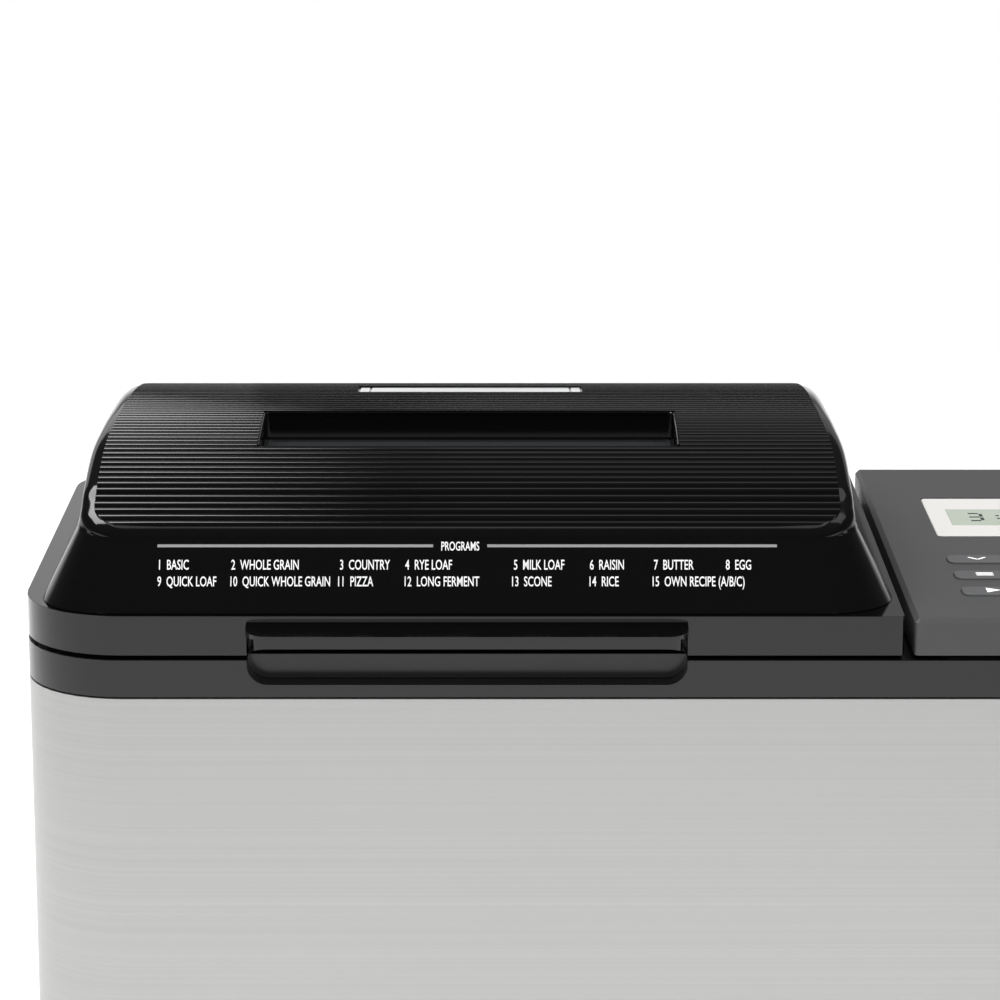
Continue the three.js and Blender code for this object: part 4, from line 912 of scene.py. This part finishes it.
def ring_mesh(name, loops):
    """A closed skin through loops of points; the last loop joins the first."""
    work = bmesh.new()
    rings = [[work.verts.new(p) for p in loop] for loop in loops]
    count = len(rings[0])
    for a, b in zip(rings, rings[1:] + rings[:1]):
        for i in range(count):
            j = (i + 1) % count
            work.faces.new((a[i], a[j], b[j], b[i]))
    bmesh.ops.recalc_face_normals(work, faces=work.faces)
    return taken(work, name)


def crown_height(y):
    """The height of the dome's middle line at a place."""
    for a, b in zip(CROWN, CROWN[1:]):
        if a.x <= y <= b.x:
            return lean((y - a.x) / (b.x - a.x), a.y, b.y)
    return CROWN[-1].y


# %% The well's frame
WELL_CORNER = 2.2 * MM
WELL_SHARP = 30
RIM_RISE = 0.35 * MM  # above the middle line
RIM_FOOT = 0.1 * MM
RIM_ROUND = 0.3 * MM
GLASS_ROOM = (0.3 * MM, 0.25 * MM)  # under and over the glass
BEAD_IN = 1.2 * MM  # the bead that holds the glass
BEAD_HIGH = 0.8 * MM
BEAD_THICK = 0.1 * MM
LEDGE_IN = 3 * MM
LEDGE_THICK = 3 * MM
LEDGE_CORNER = 0.6 * MM


def well_frame():
    """One closed skin: outer wall, rounded rim, inner wall, the bead over the glass, the ledge under it."""
    low = WELL_LOW.z - GLASS_ROOM[0]
    high = WELL_HIGH.z + GLASS_ROOM[1]
    def plan(grow, corner):
        return round_plan(LID_MIDDLE - WELL_HALF - grow, LID_MIDDLE + WELL_HALF + grow,
                          WELL_Y[0] - grow, WELL_Y[1] + grow, corner, sides=10)
    def at(points, height):
        return [(x, y, height(y) if callable(height) else height) for x, y in points]
    def rim(y):
        return crown_height(y) + RIM_RISE
    def under_rim(y):
        return crown_height(y) + RIM_FOOT
    outer = plan(WELL_WALL, WELL_CORNER + WELL_WALL)
    near_outer = plan(WELL_WALL - RIM_ROUND, WELL_CORNER + WELL_WALL - RIM_ROUND)
    near_inner = plan(RIM_ROUND, WELL_CORNER + RIM_ROUND)
    inner = plan(0, WELL_CORNER)
    bead = plan(-BEAD_IN, WELL_CORNER - BEAD_IN)
    ledge = plan(-LEDGE_IN, LEDGE_CORNER)
    loops = [
        at(outer, low - LEDGE_THICK), at(outer, under_rim), at(near_outer, rim), at(near_inner, rim),
        at(inner, under_rim), at(inner, high + BEAD_HIGH), at(bead, high), at(bead, high - BEAD_THICK),
        at(inner, high - BEAD_THICK), at(inner, low), at(ledge, low), at(ledge, low - LEDGE_THICK),
    ]
    place("well_frame", smoothed(ring_mesh("well", loops), WELL_SHARP), "black_gloss", "lid")


well_frame()
print("well_frame:", [round(v / MM, 1) for v in (2 * WELL_HALF, WELL_Y[1] - WELL_Y[0])], "mm")

# %% [markdown]
# ## The legend
# The list of programmes is printed in white on the leaning face. The words here are generic ones.
# Text objects give clean letters; they are made a mesh, narrowed, and laid on the slope.

# %% Printed words
FACE_ANGLE = math.atan2(CREASE, CREASE_IN)
CAPITALS = 4.0 * MM
NARROW = 0.60
INK_PROUD = 0.06 * MM
BOLD = 0.008
CAPITAL_SHARE = 0.73  # of the letters' nominal size
INK_THICK = 0.04 * MM


def face_frame():
    """Takes flat drawing coordinates (x, up the slope) onto the dome's leaning face."""
    lift = Vector((0, -math.sin(FACE_ANGLE), math.cos(FACE_ANGLE))) * INK_PROUD
    tilt = Matrix.Rotation(FACE_ANGLE, 4, "X")
    return Matrix.Translation(Vector((LID_MIDDLE, DOME_FRONT, FOOT_Z)) + lift) @ tilt


def words(text, x, up, height=CAPITALS, narrow=NARROW, align="LEFT"):
    """One line of letters as a mesh, in drawing coordinates."""
    curve = bpy.data.curves.new("words", "FONT")
    curve.body = text
    curve.align_x = align
    curve.resolution_u = 3
    curve.size = 1.0
    curve.extrude = 0.005
    curve.offset = BOLD
    holder = bpy.data.objects.new("words", curve)
    scene.collection.objects.link(holder)
    mesh = evaluated(holder)
    bpy.data.curves.remove(curve)
    size = height / CAPITAL_SHARE
    mesh.transform(Matrix.Diagonal((size * narrow, size, size, 1)))
    mesh.transform(Matrix.Translation((x, up, 0)))
    return mesh


def bars(*boxes):
    """Flat rules, in drawing coordinates: x0, x1, y0, y1."""
    work = bmesh.new()
    for x0, x1, y0, y1 in boxes:
        made = bmesh.ops.create_cube(work, size=1)["verts"]
        bmesh.ops.scale(work, vec=(x1 - x0, y1 - y0, INK_THICK), verts=made)
        bmesh.ops.translate(work, vec=((x0 + x1) / 2, (y0 + y1) / 2, 0), verts=made)
    return taken(work, "bars")


def merged(meshes, transform=None):
    """Several meshes as one."""
    work = bmesh.new()
    for mesh in meshes:
        work.from_mesh(mesh)
        bpy.data.meshes.remove(mesh)
    bmesh.ops.remove_doubles(work, verts=work.verts, dist=1e-7)
    bmesh.ops.recalc_face_normals(work, faces=work.faces)
    made = taken(work, "merged")
    if transform:
        made.transform(transform)
    return made


LEGEND = [
    (17.4, [(-118.9, "1", "BASIC"), (-90.6, "2", "WHOLE GRAIN"), (-49.0, "3", "COUNTRY"),
            (-23.8, "4", "RYE LOAF"), (17.8, "5", "MILK LOAF"), (47.0, "6", "RAISIN"),
            (71.6, "7", "BUTTER"), (99.2, "8", "EGG")]),
    (11.5, [(-118.9, "9", "QUICK LOAF"), (-91.4, "10", "QUICK WHOLE GRAIN"), (-50.1, "11", "PIZZA"),
            (-24.6, "12", "LONG FERMENT"), (16.6, "13", "SCONE"), (46.3, "14", "RICE"),
            (70.5, "15", "OWN RECIPE (A/B/C)")]),
]
BASELINE = 1.8  # below a row's middle, in millimetres
HEADING_HEIGHT = 3.6 * MM
HEADING_NARROW = 0.58
HEADING_X = -2.7
HEADING_GAP = 10.4 * MM
RULE_UP = 24.0
RULE_HALF = 119 * MM
RULE_THICK = 0.55 * MM
SLOPE = 1 / math.sin(FACE_ANGLE)


def legend():
    """Two rows of words under a heading that stands in a gap of a rule."""
    drawn = []
    for rise, entries in LEGEND:
        up = (rise - BASELINE) * MM * SLOPE
        for x, number, name in entries:
            drawn.append(words(f"{number}  {name}", x * MM, up))
    heading = RULE_UP * MM * SLOPE
    drawn.append(words("PROGRAMS", HEADING_X * MM, heading - BASELINE * MM, HEADING_HEIGHT,
                       HEADING_NARROW, "CENTER"))
    thick = (heading - RULE_THICK, heading + RULE_THICK)
    rules = bars((-RULE_HALF, HEADING_X * MM - HEADING_GAP, *thick),
                 (HEADING_X * MM + HEADING_GAP, RULE_HALF, *thick))
    rules.transform(face_frame())
    place("legend_rules", rules, "grey_ink", "lid", slot="display_pale")
    return place("legend", merged(drawn, face_frame()), "white_ink", "lid", slot="display_pale")


print("legend:", len(legend().data.polygons), "faces")

# %% [markdown]
# ## Shells, metal sheet and the rest
# The other outer pieces already have the right shape in the CAD model. Each gets rounded edges: broad
# on the mouldings, and fine on sheet metal and machined parts.

# %% Refined pieces
ROUNDED = {
    "lid_frame": (0.7, 3), "top_frame": (0.6, 2), "outer_wrap": (0.35, 2), "rear_cover": (0.5, 2),
    "base_tray": (0.6, 2), "control_panel_cover": (0.5, 2), "display_window": (0.5, 2),
    "bread_pan": (0.5, 2), "pan_base": (0.4, 2), "pan_seat": (0.4, 2),
    "baking_chamber": (0.4, 2), "lid_liner": (0.35, 2), "lid_gasket": (0.5, 2), "cord_gland": (0.4, 2),
    "kneading_paddle_left": (0.9, 3), "kneading_paddle_right": (0.9, 3),
    "hinge_arm_left": (0.4, 2), "hinge_arm_right": (0.4, 2),
    "hinge_bracket_left": (0.4, 2), "hinge_bracket_right": (0.4, 2),
}
ROUNDED.update({n: (1.0, 3) for n in NODES if n.startswith("foot_")})
ROUNDED.update({n: (1.0, 3) for n in NODES if n.startswith("button_")})
for node, (width, segments) in ROUNDED.items():
    refine(node, width * MM, segments)
print("refined:", len(ROUNDED), "pieces")

# %% [markdown]
# ## The badge
# A blank silver plate stands in a seat near the back of the reeding, level with the reeds' crests. A
# dark line crosses it near each end. Both keep the curve of the CAD plate, so they are copies of it:
# one is raised, and the lines are thin slices of the same shape.

# %% Badge plate
BADGE_RAISE = 0.45 * MM
LINE_WIDTH = 1.0 * MM
LINE_FROM_END = 4.2 * MM
LINE_PROUD = 0.08 * MM
BADGE_EDGE = 0.15 * MM


def badge_copy(name, move):
    """A merged copy of the CAD plate, moved by a matrix and given fine round edges."""
    mesh = taken(cad_copy("badge_plate"), name)
    mesh.transform(move)
    return softened(mesh, BADGE_EDGE)


raised = badge_copy("badge", Matrix.Translation((0, 0, BADGE_RAISE)))
place("fine_badge_plate", raised, "badge_silver", "lid", stands_for=["badge_plate"])
badge_span = BADGE_HIGH.x - BADGE_LOW.x
middle = (BADGE_LOW.x + BADGE_HIGH.x) / 2
squeeze = Matrix.Diagonal((LINE_WIDTH / badge_span, 1, 1, 1))
slices = []
for x in (BADGE_LOW.x + LINE_FROM_END, BADGE_HIGH.x - LINE_FROM_END):
    lift = Matrix.Translation((x, 0, BADGE_RAISE + LINE_PROUD))
    slices.append(badge_copy("line", lift @ squeeze @ Matrix.Translation((-middle, 0, 0))))
place("badge_lines", merged(slices), "black_gloss", "lid")
print("badge:", round(badge_span / MM, 1), "mm long")

# %% [markdown]
# ## The tongue under the band
# The black band sits in the steel wrap on a thin tongue that runs all the way round, just inside the
# sheet. It closes the hairline between the two, so that no daylight shows through the seam.

# %% Band tongue
TONGUE_IN = 4 * MM  # in from the wrap's outside
TONGUE_BACK_IN = 8 * MM
TONGUE_CORNER = 36 * MM
TONGUE_THICK = 1.2 * MM
TONGUE_RUN = (-5 * MM, 1.2 * MM)  # below and above the wrap's top edge


def band_tongue():
    """A closed ring that follows the wrap's plan from the inside."""
    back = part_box("top_frame")[1].y
    def plan(grow):
        return round_plan(BODY_LOW.x + TONGUE_IN + grow, BODY_HIGH.x - TONGUE_IN - grow,
                          FRONT + TONGUE_IN + grow, back - TONGUE_BACK_IN - grow,
                          TONGUE_CORNER - grow, 10)
    low, high = (BODY_HIGH.z + rise for rise in TONGUE_RUN)
    outer, inner = plan(0), plan(TONGUE_THICK)
    levels = ((outer, low), (outer, high), (inner, high), (inner, low))
    loops = [[(x, y, z) for x, y in ring] for ring, z in levels]
    return place("band_tongue", smoothed(ring_mesh("tongue", loops)), "black_plastic", "body")


print("band_tongue:", len(band_tongue().data.polygons), "faces")

# %% [markdown]
# ## Wires and rods
# The pan's bail and the oven's heater are bent from one length of wire each. Geometry Nodes sweep a
# round section along a path, so a bend stays as round as the wire itself. Every path is straight runs
# with smooth corners between them, as a bending machine leaves them.


# %% Rods along a path
def swept_rod():
    """A tree that sweeps a round section along the line it is given."""
    tree = Growth("rod", Radius="Float", Sides="Int", Material="Material")
    curve = tree.node("GeometryNodeMeshToCurve", {}, {"Mesh": tree.given("Geometry")})
    ring = tree.node("GeometryNodeCurvePrimitiveCircle", {"mode": "RADIUS"},
                     {"Resolution": tree.given("Sides"), "Radius": tree.given("Radius")})
    sweep = {"Curve": curve, "Profile Curve": ring, "Fill Caps": True}
    tube = tree.node("GeometryNodeCurveToMesh", {}, sweep)
    tree.ends_in(tree.node("GeometryNodeSetShadeSmooth", {}, {"Geometry": tube}))
    return tree


ROD = swept_rod()
BEND_STEPS = 10


def bent(corners, radii):
    """Points along straight runs, with a smooth bend at each inner corner."""
    points = [corners[0]]
    for before, corner, after, radius in zip(corners, corners[1:], corners[2:], radii):
        start = corner + (before - corner).normalized() * radius
        end = corner + (after - corner).normalized() * radius
        for k in range(BEND_STEPS + 1):
            t = k / BEND_STEPS
            points.append(start * (1 - t) ** 2 + corner * 2 * t * (1 - t) + end * t**2)
    points.append(corners[-1])
    return points


def rod(path, radius, finish, sides=16):
    """A round rod along a path."""
    made = ROD.grow(line_mesh(path), {"Radius": radius, "Sides": sides, "Material": FINISH[finish]})
    made.set_sharp_from_angle(angle=math.radians(SMOOTH_BELOW))
    return made


# %% The heater
HEATER_LOW, HEATER_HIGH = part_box("main_heater")
HEATER_RADIUS = (HEATER_HIGH.z - HEATER_LOW.z) / 2
HEATER_BEND = 22 * MM
TERMINAL_Y = 18 * MM
TERMINAL_RUN = 30 * MM
TERMINAL_BEND = 6 * MM


def heater_path():
    """From one terminal round the chamber's foot to the other terminal."""
    z = (HEATER_LOW.z + HEATER_HIGH.z) / 2
    end = HEATER_HIGH.x
    right = end - TERMINAL_RUN
    left = HEATER_LOW.x + HEATER_RADIUS
    front, back = HEATER_LOW.y + HEATER_RADIUS, HEATER_HIGH.y - HEATER_RADIUS
    plan = [(end, -TERMINAL_Y), (right, -TERMINAL_Y), (right, front), (left, front),
            (left, back), (right, back), (right, TERMINAL_Y), (end, TERMINAL_Y)]
    bends = [TERMINAL_BEND, *[HEATER_BEND] * 4, TERMINAL_BEND]
    return bent([Vector((x, y, z)) for x, y in plan], bends)


sheath = rod(heater_path(), HEATER_RADIUS, "heater_sheath")
place("heater_rod", sheath, "heater_sheath", "body", stands_for=["main_heater"])
print("heater_rod: radius", round(HEATER_RADIUS / MM, 2), "mm")

# %% The bail
BAIL_LOW, BAIL_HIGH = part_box("pan_handle")
BAIL_WIRE = 2.5 * MM
BAIL_EYE = BAIL_WIRE + 4 * MM
EYE_IN = 0.5 * MM  # the arm ends inside the eye's wire
EYE_WIRE = BAIL_WIRE * 0.7
EYE_RADIUS = BAIL_EYE - BAIL_WIRE * 0.72
EYE_STEPS = 40
EYE_SIDES = 12
BAIL_REACH = 52 * MM
BAIL_REST = math.radians(20)
BAIL_BEND = 9 * MM


def bail():
    """The handle's wire with an eye at each end, drawn at its rest angle."""
    middle = (BAIL_LOW.x + BAIL_HIGH.x) / 2
    arm = (BAIL_HIGH.x - BAIL_LOW.x) / 2 - BAIL_WIRE
    pivot = BAIL_LOW.z + BAIL_EYE
    def at(x, reach):
        return Vector((middle + x, -reach * math.cos(BAIL_REST), pivot + reach * math.sin(BAIL_REST)))
    eye = BAIL_EYE - EYE_IN
    corners = [at(-arm, eye), at(-arm, BAIL_REACH), at(arm, BAIL_REACH), at(arm, eye)]
    meshes = [rod(bent(corners, [BAIL_BEND, BAIL_BEND]), BAIL_WIRE, "bright_steel")]
    for side in (-1, 1):
        turns = [k / EYE_STEPS * 2 * math.pi for k in range(EYE_STEPS)]
        loop = [(EYE_RADIUS * math.cos(a), pivot + EYE_RADIUS * math.sin(a)) for a in turns]
        ring = [Vector((middle + side * arm, y, z)) for y, z in loop + loop[:1]]
        meshes.append(rod(ring, EYE_WIRE, "bright_steel", EYE_SIDES))
    return place("pan_bail", merged(meshes), "bright_steel", "handle", stands_for=["pan_handle"])


print("pan_bail:", len(bail().data.polygons), "faces")

# %% [markdown]
# ## Screws and louvres
# Screws are one small shape set down many times: a domed head with a cross in it. Geometry Nodes place
# one on every point, turn it to face outwards and give it a different turn of the cross. The louvres
# behind the rear slots are one slanted blade, placed down each slot.


# %% A screw head
SCREW_RADIUS = 3.6 * MM
SCREW_RISE = 1.5 * MM
SCREW_SIDES = 16
SCREW_PROFILE = [(1.0, -0.35), (1.0, 0.25), (0.93, 0.48), (0.78, 0.72), (0.56, 0.90), (0.34, 0.98)]
CROSS_REACH = 0.30  # shares of the head's radius and rise
CROSS_WAIST = 0.09
CROSS_FLOOR = 0.35


def screw_head():
    """A domed head, up +Z, with a cross recess pressed into its middle."""
    work = bmesh.new()
    turns = [k / SCREW_SIDES * 2 * math.pi for k in range(SCREW_SIDES)]
    def ring(reaches, rise):
        return [work.verts.new((reach * SCREW_RADIUS * math.cos(a), reach * SCREW_RADIUS * math.sin(a),
                                rise * SCREW_RISE)) for reach, a in zip(reaches, turns)]
    rings = [ring([share] * SCREW_SIDES, rise) for share, rise in SCREW_PROFILE]
    # The recess: four arms of a cross, sunk below the crown.
    arms = [CROSS_REACH if i % 4 == 0 else CROSS_WAIST for i in range(SCREW_SIDES)]
    sunk = ring(arms, CROSS_FLOOR)
    rings.append(sunk)
    for a, b in zip(rings, rings[1:]):
        for i in range(SCREW_SIDES):
            j = (i + 1) % SCREW_SIDES
            work.faces.new((a[i], a[j], b[j], b[i]))
    work.faces.new(sunk)
    work.faces.new(list(reversed(rings[0])))
    return smoothed(taken(work, "screw"))


def scattered():
    """A tree that sets a shape on every point, turned to the point's 'facing', with a seeded spin."""
    tree = Growth("scatter", Shape="Object", Spin="Float", Seed="Int", Material="Material")
    shape_in = tree.node("GeometryNodeObjectInfo", {"transform_space": "ORIGINAL"},
                         {"Object": tree.given("Shape")}, output="Geometry")
    turned = tree.node("FunctionNodeAlignRotationToVector", {"axis": "Z"},
                       {"Vector": tree.attribute("facing", "FLOAT_VECTOR")})
    spin = {2: 0.0, 3: tree.given("Spin"), "Seed": tree.given("Seed")}
    angle = tree.node("FunctionNodeRandomValue", {"data_type": "FLOAT"}, spin, output=1)
    about = tree.node("FunctionNodeAxisAngleToRotation", {}, {"Axis": (0, 0, 1), "Angle": angle})
    both = tree.node("FunctionNodeRotateRotation", {"rotation_space": "LOCAL"},
                     {"Rotation": turned, "Rotate By": about})
    inputs = {"Points": tree.given("Geometry"), "Instance": shape_in, "Rotation": both}
    tree.ends_in(tree.node("GeometryNodeInstanceOnPoints", {}, inputs))
    return tree


SCATTER = scattered()
SCREW_SEED = 7


def set_down(name, shape, points, facing, finish, body, spin=0.0):
    """One shape on many points, all of them facing one way."""
    holder = bpy.data.objects.new("shape", shape)
    cloud = bpy.data.meshes.new(name)
    cloud.from_pydata(points, [], [])
    ways = cloud.attributes.new("facing", "FLOAT_VECTOR", "POINT")
    ways.data.foreach_set("vector", list(facing) * len(points))
    values = {"Shape": holder, "Spin": spin, "Seed": SCREW_SEED, "Material": FINISH[finish]}
    made = SCATTER.grow(cloud, values)
    bpy.data.objects.remove(holder)
    place(name, made, finish, body)
    print(name + ":", len(points), "times", len(shape.polygons), "faces")


# %% Screws on the back and underneath
REAR_LOW, REAR_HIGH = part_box("rear_cover")
TRAY_LOW, TRAY_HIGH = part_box("base_tray")
SUNK = 0.1 * MM
HALF_TURN = 3.14
REAR_IN = (26 * MM, 9 * MM)  # from the cover's sides, and from its top and bottom
UNDER_IN = (62 * MM, 22 * MM)  # from the tray's sides, and from its front and back
UNDER_COLUMNS = 4
rear_x = [REAR_LOW.x + REAR_IN[0], LID_MIDDLE, REAR_HIGH.x - REAR_IN[0]]
rear_z = [REAR_LOW.z + REAR_IN[1], REAR_HIGH.z - REAR_IN[1]]
rear_spots = [(x, REAR_HIGH.y - SUNK, z) for x in rear_x for z in rear_z]
set_down("screws_rear", screw_head(), rear_spots, (0, 1, 0), "bright_steel", "body", HALF_TURN)
shares = [k / (UNDER_COLUMNS - 1) for k in range(UNDER_COLUMNS)]
under_x = [lean(k, TRAY_LOW.x + UNDER_IN[0], TRAY_HIGH.x - UNDER_IN[0]) for k in shares]
under_y = [TRAY_LOW.y + UNDER_IN[1], TRAY_HIGH.y - UNDER_IN[1]]
under_spots = [(x, y, TRAY_LOW.z + SUNK) for x in under_x for y in under_y]
set_down("screws_under", screw_head(), under_spots, (0, 0, -1), "bright_steel", "body", HALF_TURN)

# %% Louvres behind the rear slots
SLOT_PITCH = 9 * MM
SLOT_WIDTH = 3 * MM
SLOT_TOP = 24 * MM  # below the rear cover's top
SLOT_LENGTH = 62 * MM
BLADES = 11
BLADE_THICK = 0.9 * MM
BLADE_DEPTH = 0.9  # of the wall's thickness
BLADE_ROOM = 0.1 * MM
BLADE_LEAN = math.radians(-28)
BLADE_EDGE = 0.2 * MM
WALL = 3 * MM


def louvre_blade():
    """One slanted blade, as wide as a slot, that leans down towards the outside."""
    work = bmesh.new()
    made = bmesh.ops.create_cube(work, size=1)["verts"]
    bmesh.ops.scale(work, vec=(SLOT_WIDTH - BLADE_ROOM, WALL * BLADE_DEPTH, BLADE_THICK), verts=made)
    bmesh.ops.rotate(work, matrix=Matrix.Rotation(BLADE_LEAN, 3, "X"), verts=made)
    bmesh.ops.bevel(work, geom=work.edges[:], offset=BLADE_EDGE, segments=1, affect="EDGES")
    return taken(work, "blade")


PANEL_LOW, PANEL_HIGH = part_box("control_panel_cover")
SLOT_ASIDE = 10 * MM  # left of the panel's middle
panel_slots = (PANEL_LOW.x + PANEL_HIGH.x) / 2 - SLOT_ASIDE
louvre_points = []
for middle, count in ((LID_MIDDLE, 12), (panel_slots, 6)):
    for i in range(count):
        x = middle + (i - (count - 1) / 2) * SLOT_PITCH
        for k in range(BLADES):
            drop = SLOT_TOP + (k + 0.5) * SLOT_LENGTH / BLADES
            louvre_points.append((x, REAR_HIGH.y - WALL / 2, REAR_HIGH.z - drop))
set_down("rear_louvres", louvre_blade(), louvre_points, (0, 0, 1), "black_plastic", "body")

# %% [markdown]
# ## Marks on the panel
# The buttons carry simple generic marks, each riding on its own button so that it moves with the
# press. The display shows a plain time in seven-segment digits on a grey-green field.

# %% Button marks
MARK_THICK = 0.5 * MM
MARK_FINE = 0.3 * MM
MARK_HALF = 3.4 * MM
BAR_STEP = 1.8 * MM
DIAL_SIDES = 12
INLAY_THICK = 0.12 * MM


def stroke(x0, y0, x1, y1, width=MARK_THICK):
    """A flat bar between two points, as four corners."""
    a, b = Vector((x0, y0)), Vector((x1, y1))
    side = (b - a).orthogonal().normalized() * width
    return [a - side, b - side, b + side, a + side]


def rectangle(half_x, half_y):
    return [Vector((x * half_x, y * half_y)) for x, y in ((-1, -1), (1, -1), (1, 1), (-1, 1))]


def marks_for(name):
    """The polygons of a button's mark, round its middle."""
    h = MARK_HALF
    if "start" in name:
        return [[Vector((-h * 0.7, -h)), Vector((h, 0)), Vector((-h * 0.7, h))]]
    if "cancel" in name:
        return [rectangle(h * 0.8, h * 0.8)]
    if "course_up" in name:
        return [stroke(-h, -h / 2, 0, h / 2), stroke(0, h / 2, h, -h / 2)]
    if "course_down" in name:
        return [stroke(-h, h / 2, 0, -h / 2), stroke(0, -h / 2, h, h / 2)]
    if "crust" in name:
        return [stroke(-h, y, h, y) for y in (-BAR_STEP, 0, BAR_STEP)]
    turns = [k / DIAL_SIDES * 2 * math.pi for k in range(DIAL_SIDES + 1)]
    rim = [Vector((h * math.cos(a), h * math.sin(a))) for a in turns]
    hands = [stroke(0, 0, 0, h * 0.7), stroke(0, 0, h * 0.5, 0)]
    return [stroke(*p, *q, MARK_FINE) for p, q in zip(rim, rim[1:])] + hands


def inlaid(polygons, place_at):
    """Polygons as thin solid plates at a point."""
    work = bmesh.new()
    for polygon in polygons:
        area = sum(a.x * b.y - b.x * a.y for a, b in zip(polygon, polygon[1:] + polygon[:1]))
        ring = polygon if area > 0 else list(reversed(polygon))
        low = [work.verts.new((p.x, p.y, -INLAY_THICK / 2)) for p in ring]
        high = [work.verts.new((p.x, p.y, INLAY_THICK / 2)) for p in ring]
        work.faces.new(high)
        work.faces.new(list(reversed(low)))
        for i in range(len(ring)):
            j = (i + 1) % len(ring)
            work.faces.new((low[i], low[j], high[j], high[i]))
    mesh = taken(work, "inlay")
    mesh.transform(Matrix.Translation(place_at))
    return mesh


for node in sorted(n for n in NODES if n.startswith("button_")):
    low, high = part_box(node)
    centre = Vector(((low.x + high.x) / 2, (low.y + high.y) / 2, high.z))
    mark = inlaid(marks_for(node), centre)
    place(node.replace("button_", "mark_"), mark, "white_ink", NODES[node]["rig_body"], slot="display_pale")
print("button marks:", sum(n.startswith("button_") for n in NODES))

# %% The display
GLASS_LOW, GLASS_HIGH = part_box("display_window")
DIGIT = (6.0 * MM, 12.5 * MM)
DIGIT_STEP = 10 * MM
COLON_STEP = 6 * MM
DIGITS_LEFT = -17 * MM
SEGMENT_HALF = 0.75 * MM
SEGMENT_GAP = 0.9 * MM
DOT = 1.4 * MM
DOTS_UP = (0.25, 0.65)  # shares of a digit's height
FIELD_HALF = (25 * MM, 14 * MM)
DIGITS_PROUD = 0.1 * MM
SEGMENTS = {"0": "abcdef", "3": "abcdg"}
TIME = "3:00"


def digit_strokes(mark, x, y):
    """The lit segments of one seven-segment digit whose lower left corner is at a point."""
    w, h = DIGIT
    lines = {
        "a": (0, h, w, h), "b": (w, h, w, h / 2), "c": (w, h / 2, w, 0), "d": (0, 0, w, 0),
        "e": (0, 0, 0, h / 2), "f": (0, h / 2, 0, h), "g": (0, h / 2, w, h / 2),
    }
    if mark == ":":
        across = x + w / 2
        return [stroke(across, y + h * f, across, y + h * f + DOT, SEGMENT_HALF) for f in DOTS_UP]
    made = []
    for key in SEGMENTS[mark]:
        x0, y0, x1, y1 = lines[key]
        short = Vector((x1 - x0, y1 - y0)).normalized() * SEGMENT_GAP
        made.append(stroke(x + x0 + short.x, y + y0 + short.y, x + x1 - short.x, y + y1 - short.y,
                           SEGMENT_HALF))
    return made


def display_face():
    """A pale field on the glass, with the digits just above it."""
    centre = (GLASS_LOW + GLASS_HIGH) / 2
    centre.z = GLASS_HIGH.z
    field = inlaid([rectangle(*FIELD_HALF)], centre)
    place("display_field", field, "crystal_field", "body", slot="display_pale")
    digits = []
    x = DIGITS_LEFT
    for mark in TIME:
        digits += digit_strokes(mark, x, -DIGIT[1] / 2)
        x += COLON_STEP if mark == ":" else DIGIT_STEP
    lifted = centre + Vector((0, 0, DIGITS_PROUD))
    place("display_digits", inlaid(digits, lifted), "crystal_dark", "body", slot="display_pale")


display_face()
print("display:", TIME)

# %% Finish
print("scene built")
